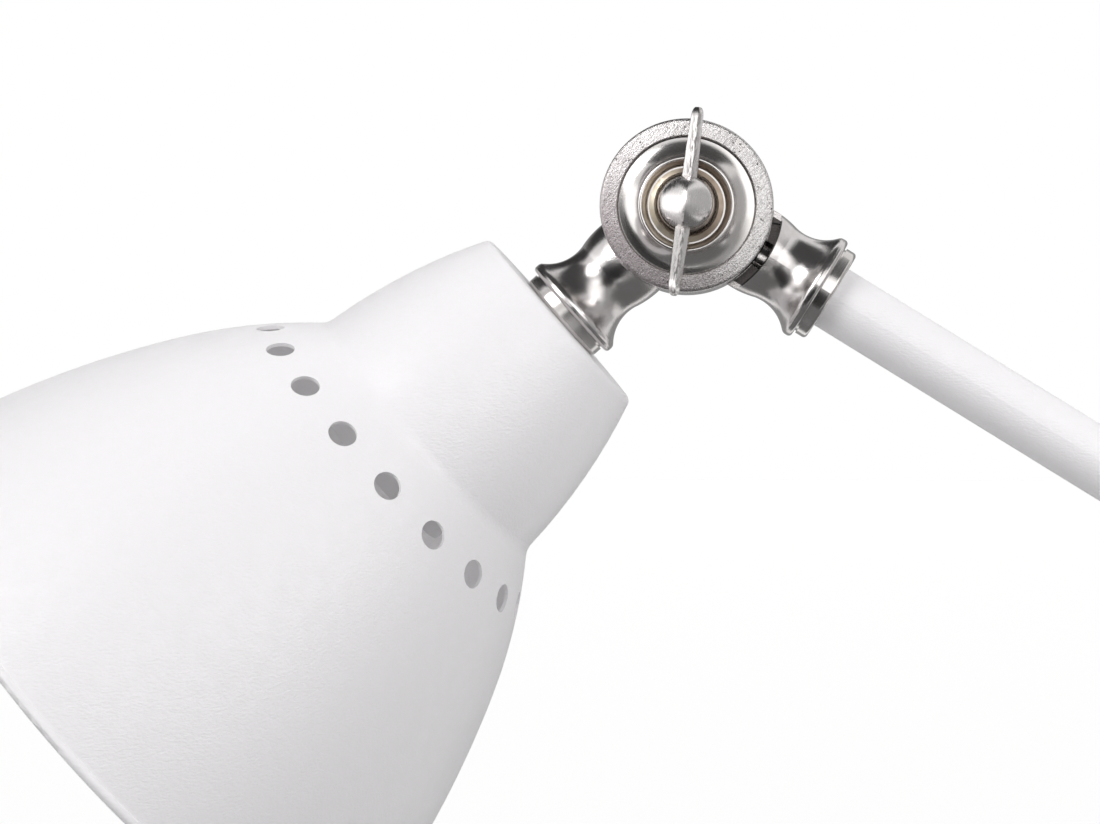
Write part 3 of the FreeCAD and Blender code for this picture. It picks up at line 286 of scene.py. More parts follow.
def clouded(tree, shader, size, most, colour):
    """Tints patches of this size with a second colour, up to this share. The patches come back."""
    clouds = patches(tree, place_on_piece(tree), size)
    tint(tree, shader, spread(tree, clouds, 0.0, most), colour)
    return clouds


def grained(tree, shader, size, depth, stretch=(1, 1, 1), detail=2.0):
    """Gives the surface a grain of this size and depth, drawn out by a factor each way."""
    relief(tree, shader, patches(tree, place_on_piece(tree, stretch=stretch), size, detail), depth)


def dress(finish, *nodes):
    """Gives CAD nodes a finish."""
    for node in nodes:
        bpy.data.objects[node].material_slots[0].material = finish


zinc, tree, shader = new_finish("zinc_plate", ZINC, 0.36, metal=True)
bloom = clouded(tree, shader, ZINC_BLOOM_SIZE, ZINC_BLOOM_MOST, ZINC_BLOOM)
gloss(tree, shader, spread(tree, bloom, *ZINC_GLOSS))
grained(tree, shader, ROLLED_LINE, ROLLED_DEPTH, ROLLED_STRETCH)
dress(zinc, "wall_bracket", "earth_washer", "earth_screw")

# ---------------------------------------------------------------- terminal block
# A moulded white block that sits on the bracket. It holds three brass clamps for the supply wires, each with
# a zinc plated screw on top.
MOULDED = (0.84, 0.83, 0.79)
MOULDED_SHADE = (0.80, 0.78, 0.72)
MOULDED_SHADE_MOST = 0.35
MOULDED_PATCH = 0.006
MOULDED_GRAIN = 0.0005
MOULDED_DEPTH = 0.00002
BRASS = (0.78, 0.60, 0.32)
BRASS_SHADE = (0.62, 0.45, 0.24)
BRASS_SHADE_MOST = 0.5
BRASS_PATCH = 0.003
BRASS_GRAIN = 0.0003
BRASS_DEPTH = 0.00001

moulding, tree, shader = new_finish("moulded_plastic", MOULDED, 0.42)
clouded(tree, shader, MOULDED_PATCH, MOULDED_SHADE_MOST, MOULDED_SHADE)
grained(tree, shader, MOULDED_GRAIN, MOULDED_DEPTH)
dress(moulding, "terminal_block")

raw_brass, tree, shader = new_finish("plain_brass", BRASS, 0.28, metal=True)
clouded(tree, shader, BRASS_PATCH, BRASS_SHADE_MOST, BRASS_SHADE)
grained(tree, shader, BRASS_GRAIN, BRASS_DEPTH)
dress(raw_brass, "terminal_clamps", "centre_contact")
dress(zinc, "terminal_screws")

# ---------------------------------------------------------------- wall cover
# A spun steel cup, powder coated white, held on the bracket's ears by two domed screws. A zinc plated plate
# stiffens its flat front from behind, where the swivel turns in it.
COAT_WHITE = (0.885, 0.868, 0.884)
COAT_SHADE = (0.87, 0.855, 0.868)
COAT_SHADE_MOST = 0.5
COAT_GLOSS = (0.36, 0.50)
PEEL_SIZE = 0.0035
PEEL_DEPTH = 0.00004
LEATHER_SIZE = 0.0005
LEATHER_DEPTH = 0.00012
SCREW_NICKEL = (0.66, 0.635, 0.60)
SCREW_GLOSS = (0.16, 0.30)
SCREW_PATCH = 0.002
SCREW_GRAIN = 0.00025
SCREW_DEPTH = 0.000008


def powder_coat(name, drawn_out):
    """White powder coat: a fine leather grain, drawn out by a factor each way, and a faint orange peel."""
    material, tree, shader = new_finish(name, COAT_WHITE, 0.40)
    peel = clouded(tree, shader, PEEL_SIZE, COAT_SHADE_MOST, COAT_SHADE)
    gloss(tree, shader, spread(tree, peel, *COAT_GLOSS))
    relief(tree, shader, peel, PEEL_DEPTH)
    grained(tree, shader, LEATHER_SIZE, LEATHER_DEPTH, drawn_out, detail=3.0)
    return material


dress(powder_coat("cover_powder_coat", (1, 1, 1)), "wall_cover")
dress(zinc, "cover_plate", "stop_pin")

plated, tree, shader = new_finish("bright_nickel", SCREW_NICKEL, 0.22, metal=True)
gloss(tree, shader, spread(tree, patches(tree, place_on_piece(tree), SCREW_PATCH), *SCREW_GLOSS))
grained(tree, shader, SCREW_GRAIN, SCREW_DEPTH)
dress(plated, "cover_screws")

# ---------------------------------------------------------------- wire tubes and swivel fixings
# Hollow steel tubes with a fine thread from end to end. One ties the wall knuckle to the cover, where a
# friction washer, a stop washer and a lock nut ride on it, and others join each collar to its neighbour.
THREAD_PITCH = 0.001
THREAD_GROOVE = 0.00055
THREAD_OUTSIDE = 0.005
WIRE_PASSAGE = 0.0035
STEPS_ROUND = 48
STEPS_A_TURN = 8

lamp_socket = next(mount for mount in frame["record"]["mounts"] if mount["name"] == "lamp_socket")
shade_way = Vector(lamp_socket["axis"])
arm_way = (wall_centre - head_centre).normalized()
wall_way = Vector((0, 1, 0))


def new_piece(name, mesh, finish, body):
    """Puts a mesh into the scene, with a finish, on a body of the frame."""
    piece = in_scene(name, mesh)
    mesh.materials.append(finish)
    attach(piece, body)
    return piece


def stood(way, side):
    """The turn that stands local Z along a direction, with one local axis kept upright."""
    return way.to_track_quat("Z", side).to_matrix().to_4x4()


def closed_lathe(name, outline, steps_round, steps_along):
    """A ring about local Z. The outline is closed, and gives a radius and a height for the share of the full
    turn that is done and for a step along it."""
    points = []
    for i in range(steps_round):
        angle = 2 * math.pi * i / steps_round
        for j in range(steps_along):
            radius, height = outline(i / steps_round, j)
            points.append((radius * math.cos(angle), radius * math.sin(angle), height))
    faces = []
    for i in range(steps_round):
        near, far = i * steps_along, (i + 1) % steps_round * steps_along
        for j in range(steps_along):
            after = (j + 1) % steps_along
            faces.append((near + j, far + j, far + after, near + after))
    mesh = bpy.data.meshes.new(name)
    mesh.from_pydata(points, [], faces)
    return mesh


def threaded_tube(name, length):
    """A tube about local Z from 0 to its length, with a thread outside and a plain bore."""
    count = round(length / THREAD_PITCH * STEPS_A_TURN)

    def outline(turned_by, step):
        if step > count:
            return WIRE_PASSAGE, length if step == count + 1 else 0.0
        height = length * step / count
        phase = (height / THREAD_PITCH - turned_by) % 1.0
        depth = THREAD_GROOVE * (1 - abs(2 * phase - 1))
        return THREAD_OUTSIDE - depth, height

    return closed_lathe(name, outline, STEPS_ROUND, count + 3)


def threaded_node(node, way, body):
    """Stands a threaded tube in the place of a plain one, as long as the plain one's box lets it be."""
    low, high = (Vector(corner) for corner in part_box(node))
    middle = (low + high) / 2
    reach = (high.y - low.y) / 2 - THREAD_OUTSIDE * math.sqrt(1 - way.y ** 2)
    length = 2 * reach / abs(way.y)
    tube = new_piece(node + "_thread", threaded_tube(node + "_thread", length), zinc, body)
    tube.matrix_world = Matrix.Translation(middle - way * length / 2) @ stood(way, "X")
    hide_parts(node)


threaded_node("wall_wire_tube", wall_way, "swivel")
threaded_node("head_wire_tube", shade_way, "head")
dress(zinc, "lower_wire_tube", "upper_wire_tube", "swivel_friction_washer", "swivel_stop_washer",
      "swivel_lock_nut", "lower_tube_plug", "upper_tube_plug", "shade_tooth_washer", "shade_lock_nut")

# ---------------------------------------------------------------- knuckle halves
# Nickel plated castings. Each has a disc with a raised ring, whose face was sanded before it was plated, and
# a waisted neck with a flared lip. Small casting pits show through the plating. The clamp bolt draws two
# discs together, and a wire tube screws into each neck.
RING_AT = 0.0104
RING_FROM = 0.0164
RING_REACH = 0.0211
RING_LEAN = 0.08
GAP_TO = 0.0168
SEAT_REACH = 0.0235
SEAT_HALF = 0.0092
SEAT_FROM = -0.0025
CAST_NICKEL = (0.625, 0.602, 0.598)
NECK_GLOSS = (0.15, 0.23)
RING_GLOSS = (0.24, 0.38)
BLOTCH_SIZE = 0.0045
BLOTCH_MOST = 0.5
BLOTCH_SHADE = (0.53, 0.50, 0.48)
BLOTCH_DEPTH = 0.000014
CAST_GRAIN = 0.00032
CAST_GRAIN_MOST = 0.9
CAST_GRAIN_RANGE = (0.46, 0.60)
CAST_GRAIN_BRIGHT = (0.90, 0.88, 0.88)
CAST_GRAIN_DEPTH = 0.000026
SAND_LINE = 0.00022
SAND_WAY = math.radians(48)
SAND_STRETCH = (1, 12, 1)
SAND_MOST = 0.6
SAND_RANGE = (0.5, 0.66)
SAND_SHADE = (0.24, 0.225, 0.225)
SANDED_DEPTH = 0.00011
# Painted shade: the ring's face is tinted darker towards its lower left side.
RING_SHADE_WAY = Vector((0, -0.75, -0.66))
RING_SHADE_RANGE = (-0.004, 0.018)
RING_SHADE_MOST = 0.68
RING_PAINTED_SHADE = (0.25, 0.205, 0.215)
# Painted shade: a dark line in the gap between the ring and the dished washer.
GAP_SHADE_MOST = 0.75
GAP_PAINTED_SHADE = (0.10, 0.09, 0.085)
# Painted shade: near black in the seat beside the neck, where the other disc turns.
SEAT_SHADE_MOST = 0.96
SEAT_PAINTED_SHADE = (0.04, 0.036, 0.034)
PIT_SPACING = 0.0013
PIT_RANGE = (0.08, 0.20)
PITTED_BLOTCHES = (0.50, 0.55)
PIT_MOST = 0.7
PIT_SHADE = (0.10, 0.09, 0.09)
PIT_DEPTH = 0.00025


def from_vectors(tree, operation, first, second=(0, 0, 0)):
    """What a vector operation gives: a vector, or the number of a length or a dot product."""
    made = add(tree, "VectorMath", {0: first, 1: second}, operation=operation)
    return made.outputs["Value" if operation in ("LENGTH", "DOT_PRODUCT") else "Vector"]


def between(tree, value, low, high):
    """1 where a number lies between two others."""
    return both(tree, both(tree, value, low, "GREATER_THAN"), both(tree, value, high, "LESS_THAN"))


def cast_nickel(name, centre, neck_way, disc_side):
    """The finish of a half knuckle that turns about this centre, with its neck this way. Its own disc lies on
    one side of the middle, and its neck makes room for the other disc on the other."""
    material, tree, shader = new_finish(name, CAST_NICKEL, 0.26, metal=True)
    here = place_on_piece(tree, centre)
    across = add(tree, "SeparateXYZ", {0: here})
    flat = add(tree, "CombineXYZ", {1: across.outputs[1], 2: across.outputs[2]}).outputs[0]
    reach = from_vectors(tree, "LENGTH", flat)
    off_neck = from_vectors(tree, "LENGTH", from_vectors(tree, "CROSS_PRODUCT", flat, neck_way))
    to_other_disc = both(tree, across.outputs[0], -disc_side)

    on_face = both(tree, magnitude(tree, across.outputs[0]), RING_AT, "GREATER_THAN")
    on_ring = both(tree, on_face, both(tree, reach, RING_REACH, "LESS_THAN"))
    in_gap = between(tree, reach, RING_FROM, GAP_TO)
    by_neck = both(tree, both(tree, off_neck, SEAT_HALF, "LESS_THAN"),
                   both(tree, to_other_disc, SEAT_FROM, "GREATER_THAN"))
    in_seat = both(tree, between(tree, reach, RING_REACH, SEAT_REACH), by_neck)

    blotches = patches(tree, here, BLOTCH_SIZE)
    grain = patches(tree, here, CAST_GRAIN, detail=3.0)
    sanded = place_on_piece(tree, centre, (SAND_WAY, 0, 0), SAND_STRETCH)
    lines = patches(tree, sanded, SAND_LINE, detail=3.0)
    down_left = from_vectors(tree, "DOT_PRODUCT", flat, RING_SHADE_WAY)
    pits = add(tree, "TexVoronoi", {"Vector": here, "Scale": 1 / PIT_SPACING}, feature="F1")
    in_pit = spread(tree, pits.outputs["Distance"], 1.0, 0.0, *PIT_RANGE)
    some_blotches = spread(tree, blotches, 0.0, 1.0, *PITTED_BLOTCHES)

    bright_grain = both(tree, spread(tree, grain, 0.0, CAST_GRAIN_MOST, *CAST_GRAIN_RANGE), on_ring)
    dark_lines = both(tree, spread(tree, lines, 0.0, SAND_MOST, *SAND_RANGE), on_ring)
    painted_ring_shade = both(tree, spread(tree, down_left, 0.0, RING_SHADE_MOST, *RING_SHADE_RANGE), on_ring)
    pit = both(tree, both(tree, in_pit, some_blotches), on_ring)

    tint(tree, shader, spread(tree, blotches, 0.0, BLOTCH_MOST), BLOTCH_SHADE)
    tint(tree, shader, bright_grain, CAST_GRAIN_BRIGHT)
    tint(tree, shader, dark_lines, SAND_SHADE)
    # Painted shade on the ring's lower left side.
    tint(tree, shader, painted_ring_shade, RING_PAINTED_SHADE)
    # Painted shade in the gap round the dished washer.
    tint(tree, shader, both(tree, in_gap, GAP_SHADE_MOST), GAP_PAINTED_SHADE)
    # Painted shade in the seat of the other disc.
    tint(tree, shader, both(tree, in_seat, SEAT_SHADE_MOST), SEAT_PAINTED_SHADE)
    tint(tree, shader, both(tree, pit, PIT_MOST), PIT_SHADE)
    gloss(tree, shader, add(tree, "Mix", {0: on_ring, 2: spread(tree, blotches, *NECK_GLOSS),
                                          3: spread(tree, grain, *RING_GLOSS)}, data_type="FLOAT").outputs[0])

    ring_rise = RING_LEAN * (RING_REACH - RING_FROM)
    relief(tree, shader, spread(tree, reach, ring_rise, 0.0, RING_FROM, RING_REACH), 1.0)
    relief(tree, shader, blotches, BLOTCH_DEPTH)
    relief(tree, shader, grain, CAST_GRAIN_DEPTH)
    relief(tree, shader, both(tree, both(tree, grain, lines, "ADD"), on_ring), SANDED_DEPTH)
    relief(tree, shader, both(tree, pit, -1.0), PIT_DEPTH)
    return material


for node, centre, neck_way, disc_side in (
        ("head", head_centre, shade_way, 1), ("upper", head_centre, arm_way, -1),
        ("lower", wall_centre, -arm_way, -1), ("wall", wall_centre, wall_way, 1)):
    dress(cast_nickel(node + "_cast_nickel", centre, neck_way, disc_side), node + "_knuckle_half")

# ---------------------------------------------------------------- friction pads
# A ring of pressed brown fibre between the two discs of each knuckle, which the bolt clamps, so that the arm
# and the shade stay where they are put. Only its edge shows.
FIBRE = (0.27, 0.16, 0.10)
FIBRE_SHADE = (0.16, 0.09, 0.06)
FIBRE_SHADE_MOST = 0.7
STRAND_SIZE = 0.0006
STRAND_STRETCH = (0.3, 2, 1)
STRAND_DEPTH = 0.00004

fibre, tree, shader = new_finish("pressed_fibre", FIBRE, 0.7)
strands = patches(tree, place_on_piece(tree, stretch=STRAND_STRETCH), STRAND_SIZE, detail=4.0)
tint(tree, shader, spread(tree, strands, 0.0, FIBRE_SHADE_MOST), FIBRE_SHADE)
relief(tree, shader, strands, STRAND_DEPTH)
dress(fibre, "lower_friction_pad", "upper_friction_pad")

# ---------------------------------------------------------------- clamp washers and bolts
# In each disc's recess lies a turned nickel washer with a raised crest, and inside the crest a brass washer.
# The clamp bolt's head lies on them at one side and the wing nut at the other. The turning tool left fine
# rings, so that the gloss fans out from the middle.
TURNED_RING = 0.00012
TURNED_DEPTH = 0.0000035
ACROSS_THE_RINGS = 0.25
TURNED_NICKEL = (0.64, 0.618, 0.61)
TURNED_NICKEL_SHADE = (0.56, 0.535, 0.50)
TURNED_NICKEL_SHADE_MOST = 0.4
TURNED_NICKEL_GLOSS = (0.15, 0.24)
TURNED_NICKEL_PATCH = 0.004
TURNED_BRASS = (0.86, 0.78, 0.66)
TURNED_BRASS_GLOSS = (0.34, 0.48)
STAIN_SIZE = 0.0018
STAIN_MOST = 0.8
STAIN_SHADE = (0.74, 0.64, 0.49)
# Painted shadow: one side of each brass washer is tinted dark, where the nut or bolt head above it shades it.
SHADOWED_SIDE_WAY = Vector((0.9, 0.3, 0))
SHADOWED_SIDE_RANGE = (-0.006, 0.002)
SHADOWED_SIDE_MOST = 0.85
BRASS_PAINTED_SHADOW = (0.24, 0.18, 0.14)
WASHER_HOLE = 0.0032
WASHER_RIM = 0.0005
WASHER_SLOPE = 0.0014
WASHER_STEPS = 96

hinge_way = Vector((1, 0, 0))


def turned(tree, shader, centre, axis, anisotropy):
    """Fine rings about an axis, and gloss that runs across them. The rings' pattern comes back."""
    own = add(tree, "TexCoord").outputs["Object"]
    out = from_vectors(tree, "SUBTRACT", own, centre)
    round_axis = from_vectors(tree, "CROSS_PRODUCT", axis, out)
    in_world = add(tree, "VectorTransform", {0: round_axis}, vector_type="VECTOR", convert_from="OBJECT",
                   convert_to="WORLD").outputs[0]
    tree.links.new(in_world, shader.inputs["Tangent"])
    shader.inputs["Anisotropic"].default_value = anisotropy
    shader.inputs["Anisotropic Rotation"].default_value = ACROSS_THE_RINGS
    radius = from_vectors(tree, "LENGTH", round_axis)
    height = from_vectors(tree, "DOT_PRODUCT", out, axis)
    rings = patches(tree, add(tree, "CombineXYZ", {0: radius, 1: height}).outputs[0], TURNED_RING)
    relief(tree, shader, rings, TURNED_DEPTH)
    return rings


def turned_nickel(name, centre, axis):
    """Nickel plate over a piece that was turned about an axis through this centre."""
    material, tree, shader = new_finish(name, TURNED_NICKEL, 0.20, metal=True)
    rings = turned(tree, shader, centre, axis, anisotropy=0.5)
    gloss(tree, shader, spread(tree, rings, *TURNED_NICKEL_GLOSS))
    clouded(tree, shader, TURNED_NICKEL_PATCH, TURNED_NICKEL_SHADE_MOST, TURNED_NICKEL_SHADE)
    return material


def brass_washer(node, body):
    """Stands a washer with a sloping edge, its slope away from the discs, in the place of a plain one."""
    low, high = (Vector(corner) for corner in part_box(node))
    middle = (low + high) / 2
    outside, thick = (high.y - low.y) / 2, high.x - low.x
    outline = [(WASHER_HOLE, 0), (outside, 0), (outside, WASHER_RIM), (outside - WASHER_SLOPE, thick),
               (WASHER_HOLE, thick)]
    mesh = closed_lathe(node + "_turned", lambda turned_by, step: outline[step], WASHER_STEPS, len(outline))
    washer = new_piece(node + "_turned", mesh, turned_brass, body)
    outwards = math.copysign(1, middle.x - head_centre.x)
    seat = Vector((low.x if outwards > 0 else high.x, middle.y, middle.z))
    washer.matrix_world = Matrix.Translation(seat) @ stood(hinge_way * outwards, "Y")
    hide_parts(node)


turned_brass, tree, shader = new_finish("turned_brass", TURNED_BRASS, 0.40, metal=True)
turned(tree, shader, (0, 0, 0), Vector((0, 0, 1)), anisotropy=0.4)
here = place_on_piece(tree)
stain = patches(tree, here, STAIN_SIZE, detail=3.0)
shadowed_side = from_vectors(tree, "DOT_PRODUCT", here, SHADOWED_SIDE_WAY)
tint(tree, shader, spread(tree, stain, 0.0, STAIN_MOST), STAIN_SHADE)
# Painted shadow on one side of the brass washer.
tint(tree, shader, spread(tree, shadowed_side, 0.0, SHADOWED_SIDE_MOST, *SHADOWED_SIDE_RANGE), BRASS_PAINTED_SHADOW)
gloss(tree, shader, spread(tree, stain, *TURNED_BRASS_GLOSS))

for centre, ends, bodies in ((head_centre, ("head", "upper"), ("head", "arm")),
                             (wall_centre, ("wall", "lower"), ("swivel", "arm"))):
    dish_finish = turned_nickel(ends[0] + "_turned_nickel", centre, hinge_way)
    for end, body in zip(ends, bodies):
        dress(dish_finish, end + "_dish_washer")
        brass_washer(end + "_brass_washer", body)
    dress(dish_finish, ends[1] + "_clamp_bolt")

# ---------------------------------------------------------------- wing nuts
# Cast, nickel plated, and rubbed bright by fingers: a ball whose face is filed to a ridge along the wings,
# on a round foot, and two thin wings with a ridge each. The nut runs on the clamp bolt.
FOOT_RADIUS = 0.0078
FOOT_EDGE = 0.0016
FOOT_TOP_RADIUS = 0.0069
FOOT_TOP = 0.0044
FOOT_BEVEL = 0.0003
BALL_RADIUS = 0.0064
BALL_AT = 0.0082
BALL_NECK = 0.0054
BALL_ROOF = 0.46
BALL_STEPS = 72
BALL_STEPS_UP = 31
BORE_RADIUS = 0.00305
BORE_DEPTH = 0.007
WING_FROM = 0.002
WING_TO = 0.0224
WING_FULL = 0.0188
WING_ROUND = 0.0026
WING_STEPS = 30
ROOT_SIZE = Vector((0.0037, 0.0050))
FULL_SIZE = Vector((0.0027, 0.0084))
ROOT_LIFT = 0.0046
FULL_LIFT = 0.0104
TIP_WIDTH = 0.25
TIP_HEIGHT = 0.45
TIP_RIDGE = 0.2
RIDGE_RISE = 0.0013
RIDGE_SIDE = -0.00035
SLANTS_ACROSS = 9
WING_BULGE = 0.0001
SHARP_EDGE = math.radians(24)
HEAD_WING_LEAN = math.radians(7.6)
WALL_WING_LEAN = math.radians(-24.0)
RUBBED_NICKEL = (0.67, 0.648, 0.64)
RUBBED_GLOSS = (0.18, 0.30)
STREAK_SIZE = 0.0005
STREAK_STRETCH = (9, 1, 2)
STREAK_MOST = 0.9
STREAK_RANGE = (0.48, 0.58)
STREAK_SHADE = (0.16, 0.15, 0.145)
STREAK_DEPTH = 0.00003
FILED_LINE = 0.00016
FILED_STRETCH = (1, 12, 4)
FILED_DEPTH = 0.0000045
FOOT_MOST = 0.9
FOOT_SHADE = (0.25, 0.20, 0.165)
BLEND = 0.0006
RIDGE_BAND = (0.0002, 0.0012)

nut_finish, tree, shader = new_finish("rubbed_nickel", RUBBED_NICKEL, 0.22, metal=True)
on_nut = add(tree, "SeparateXYZ", {0: place_on_piece(tree)})
streaks = patches(tree, place_on_piece(tree, stretch=STREAK_STRETCH), STREAK_SIZE, detail=4.0)
filed = patches(tree, place_on_piece(tree, stretch=FILED_STRETCH), FILED_LINE, detail=3.0)
from_middle = magnitude(tree, on_nut.outputs[0])
out_on_wing = spread(tree, from_middle, 0.0, 1.0, BALL_RADIUS - BLEND, BALL_RADIUS + BLEND)
near_ridge = spread(tree, magnitude(tree, on_nut.outputs[1]), 1.0, 0.0, *RIDGE_BAND)
on_foot = spread(tree, on_nut.outputs[2], 1.0, 0.0, FOOT_TOP, FOOT_TOP + BLEND)
dark_streaks = spread(tree, streaks, 0.0, STREAK_MOST, *STREAK_RANGE)
tint(tree, shader, both(tree, dark_streaks, both(tree, near_ridge, out_on_wing)), STREAK_SHADE)
tint(tree, shader, both(tree, on_foot, FOOT_MOST), FOOT_SHADE)
gloss(tree, shader, spread(tree, streaks, *RUBBED_GLOSS))
relief(tree, shader, both(tree, streaks, out_on_wing), STREAK_DEPTH)
relief(tree, shader, filed, FILED_DEPTH)


def ball_and_foot(build):
    """The lathe-like middle of the nut. The ball's outer half falls off from its ridge to both sides."""
    neck_at = BALL_AT - math.sqrt(BALL_RADIUS ** 2 - BALL_NECK ** 2)
    start = math.atan2(neck_at - BALL_AT, BALL_NECK)
    outline = [(BORE_RADIUS, BORE_DEPTH), (BORE_RADIUS, 0.0), (FOOT_RADIUS - FOOT_BEVEL, 0.0),
               (FOOT_RADIUS, FOOT_BEVEL), (FOOT_RADIUS, FOOT_EDGE), (FOOT_TOP_RADIUS, FOOT_TOP - FOOT_BEVEL),
               (FOOT_TOP_RADIUS - FOOT_BEVEL, FOOT_TOP)]
    for step in range(BALL_STEPS_UP):
        angle = start + (math.pi / 2 - start) * step / BALL_STEPS_UP
        outline.append((BALL_RADIUS * math.cos(angle), BALL_AT + BALL_RADIUS * math.sin(angle)))
    rings = []
    for radius, height in outline:
        ring = []
        for step in range(BALL_STEPS):
            angle = 2 * math.pi * step / BALL_STEPS
            across = radius * math.sin(angle)
            rise = max(height - BALL_AT, 0.0)
            ring.append(build.verts.new((radius * math.cos(angle), across,
                                         height - rise * BALL_ROOF * abs(across) / BALL_RADIUS)))
        rings.append(ring)
    for low, high in zip(rings, rings[1:]):
        for step in range(BALL_STEPS):
            after = (step + 1) % BALL_STEPS
            build.faces.new((low[step], low[after], high[after], high[step]))
    top = build.verts.new((0, 0, BALL_AT + BALL_RADIUS))
    bottom = build.verts.new((0, 0, BORE_DEPTH))
    for step in range(BALL_STEPS):
        after = (step + 1) % BALL_STEPS
        build.faces.new((rings[-1][step], rings[-1][after], top))
        build.faces.new((rings[0][after], rings[0][step], bottom))


def wing(build, side):
    """One wing: ten-sided sections from inside the ball out to a rounded tip."""
    rings = []
    for step in range(WING_STEPS + 1):
        along = step / WING_STEPS
        reach = WING_FROM + (WING_TO - WING_FROM) * math.sin(along * math.pi / 2)
        grown = min((reach - WING_FROM) / (WING_FULL - WING_FROM), 1.0)
        width, tall = ROOT_SIZE.lerp(FULL_SIZE, grown)
        lift = ROOT_LIFT + (FULL_LIFT - ROOT_LIFT) * grown
        past = max(reach - (WING_TO - WING_ROUND), 0.0) / WING_ROUND
        narrowed = math.sqrt(max(1.0 - past ** 2, 0.0))
        width *= TIP_WIDTH + (1 - TIP_WIDTH) * narrowed
        tall *= TIP_HEIGHT + (1 - TIP_HEIGHT) * narrowed
        rise = RIDGE_RISE * (TIP_RIDGE + (1 - TIP_RIDGE) * narrowed)
        low, high = lift - tall / 2, lift + tall / 2
        half, slant = width / 2, width / SLANTS_ACROSS
        ridge = RIDGE_SIDE * narrowed * side
        outline = [(ridge, high + rise), (half, high), (half + WING_BULGE, high - slant), (half, low + slant),
                   (half - slant, low), (ridge, low - rise), (slant - half, low), (-half, low + slant),
                   (-half - WING_BULGE, high - slant), (-half, high)]
        rings.append([build.verts.new((side * reach, side * across, height)) for across, height in outline])
    for near, far in zip(rings, rings[1:]):
        for i in range(len(near)):
            after = (i + 1) % len(near)
            build.faces.new((near[i], near[after], far[after], far[i]))
    build.faces.new(rings[0])
    build.faces.new(rings[-1])


def wing_nut(name, node, centre, lean, body):
    """Stands a nut on its knuckle's outer washer, in the place of a plain one, its wings off upright."""
    build = bmesh.new()
    ball_and_foot(build)
    for side in (1, -1):
        wing(build, side)
    bmesh.ops.recalc_face_normals(build, faces=build.faces)
    mesh = bpy.data.meshes.new(name)
    build.to_mesh(mesh)
    build.free()
    mesh.shade_smooth()
    mesh.set_sharp_from_angle(angle=SHARP_EDGE)
    nut = new_piece(name, mesh, nut_finish, body)
    foot_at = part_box(node)[0][0]
    along = Vector((0, math.sin(lean), math.cos(lean)))
    turned_to = Matrix((along, hinge_way.cross(along), hinge_way)).transposed().to_4x4()
    nut.matrix_world = Matrix.Translation((foot_at, centre.y, centre.z)) @ turned_to
    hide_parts(node)


wing_nut("head_nut", "head_wing_nut", head_centre, HEAD_WING_LEAN, "head_wing")
wing_nut("wall_nut", "wall_wing_nut", wall_centre, WALL_WING_LEAN, "wall_wing")

# ---------------------------------------------------------------- collars
# Turned rings, nickel plated. Each sits on a wire tube, between a knuckle's lip and what follows it: the
# shade, the arm tube or the wall cover.
for node, centre, axis in (("head_collar", head_centre, shade_way), ("upper_collar", head_centre, arm_way),
                           ("lower_collar", wall_centre, arm_way), ("wall_collar", wall_centre, wall_way)):
    dress(turned_nickel(node + "_nickel", centre, axis), node)

# ---------------------------------------------------------------- arm tube
# A thin steel tube, powder coated white, seated in a collar at each end. A threaded plug in each end takes
# the wire tube that ties it to its knuckle. The paint's grain is drawn out a little.
DRAWN_OUT = (1, 2.6, 1)

dress(powder_coat("tube_powder_coat", DRAWN_OUT), "arm_tube")

# ---------------------------------------------------------------- shade
# Spun from one sheet of steel, punched with a ring of vent holes, rolled at its rim, and powder coated white
# inside and out. A toothed washer and a nut clamp its top between the collar and the lampholder.
dress(powder_coat("shade_powder_coat", DRAWN_OUT), "shade")

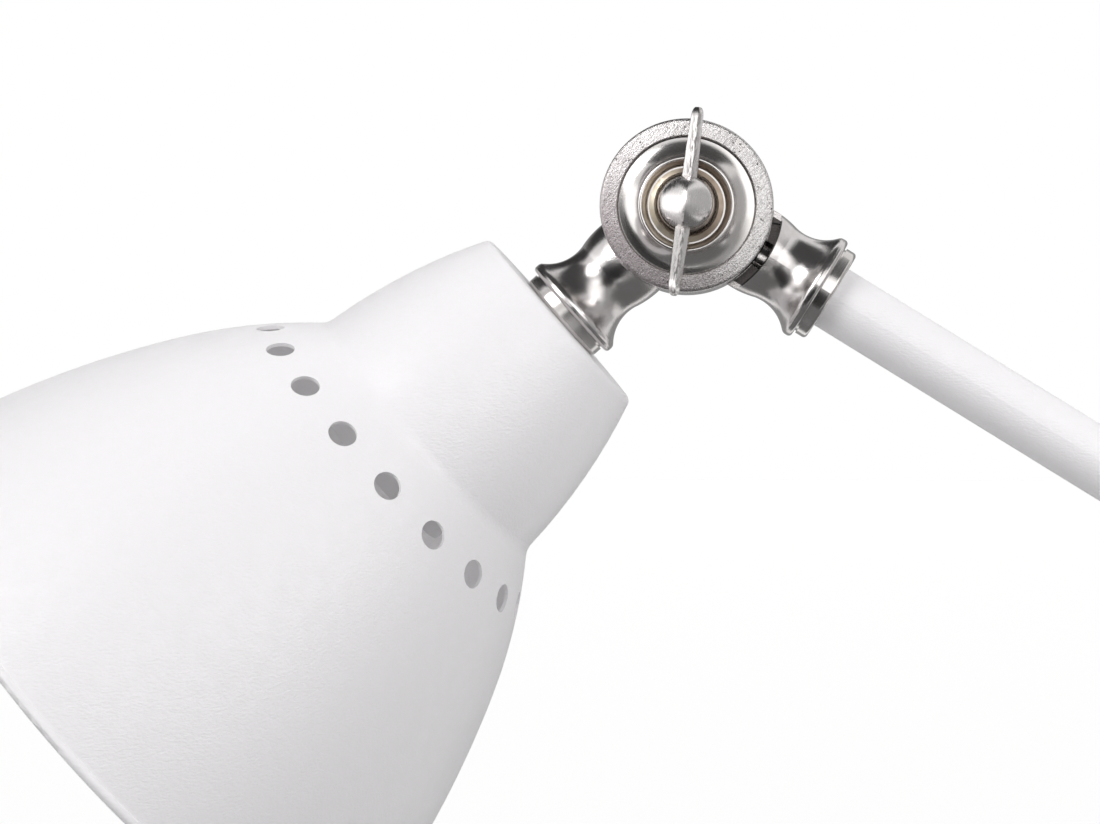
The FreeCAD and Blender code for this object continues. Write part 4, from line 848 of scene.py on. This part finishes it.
# ---------------------------------------------------------------- lampholder
# A moulded cap and ribbed body, clamped under the shade's top, with a ceramic carrier for the contacts and a
# brass sleeve with the lamp's rolled thread.
HOLDER_WHITE = (0.93, 0.925, 0.93)
HOLDER_GRAIN = 0.0006
HOLDER_DEPTH = 0.00002
STEATITE = (0.86, 0.84, 0.79)
STEATITE_SHADE = (0.74, 0.70, 0.62)
SPECK_SIZE = 0.0007
SPECK_MOST = 0.6
SPECK_RANGE = (0.5, 0.75)
SPECK_DEPTH = 0.00003
SLEEVE_SHEET = 0.0005
SLEEVE_WAVE = 0.0006
SLEEVE_PITCH = 0.00362
SLEEVE_ENDS_IN_LENGTH = 8
SLEEVE_STEPS_ROUND = 64
SLEEVE_STEPS = 72

holder_white, tree, shader = new_finish("white_moulding", HOLDER_WHITE, 0.38)
grained(tree, shader, HOLDER_GRAIN, HOLDER_DEPTH)
dress(holder_white, "holder_cap", "holder_body")

ceramic, tree, shader = new_finish("steatite", STEATITE, 0.5)
specks = patches(tree, place_on_piece(tree), SPECK_SIZE, detail=3.0)
tint(tree, shader, spread(tree, specks, 0.0, SPECK_MOST, *SPECK_RANGE), STEATITE_SHADE)
relief(tree, shader, specks, SPECK_DEPTH)
dress(ceramic, "socket_base")

sleeve_length = lamp_socket["dims"]["length_mm"] / 1000
sleeve_outside = lamp_socket["dims"]["r_mm"] / 1000 + SLEEVE_SHEET


def sleeve_outline(turned_by, step):
    """Up the outside and back down the inside of the thin sleeve, which runs out to plain ends."""
    inside = step > SLEEVE_STEPS
    along = (2 * SLEEVE_STEPS + 1 - step if inside else step) / SLEEVE_STEPS
    height = sleeve_length * (along - 0.5)
    from_ends = min(1.0, SLEEVE_ENDS_IN_LENGTH * along, SLEEVE_ENDS_IN_LENGTH * (1 - along))
    wave = SLEEVE_WAVE * (math.cos(2 * math.pi * (height / SLEEVE_PITCH - turned_by)) - 1)
    return sleeve_outside + wave * from_ends - (SLEEVE_SHEET if inside else 0.0), height


sleeve_mesh = closed_lathe("lamp_thread", sleeve_outline, SLEEVE_STEPS_ROUND, 2 * SLEEVE_STEPS + 2)
sleeve_mesh.shade_smooth()
sleeve = new_piece("lamp_thread", sleeve_mesh, raw_brass, "head")
sleeve.matrix_world = Matrix.Translation(lamp_socket["pos_m"]) @ stood(shade_way, "X")
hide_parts("socket_shell")
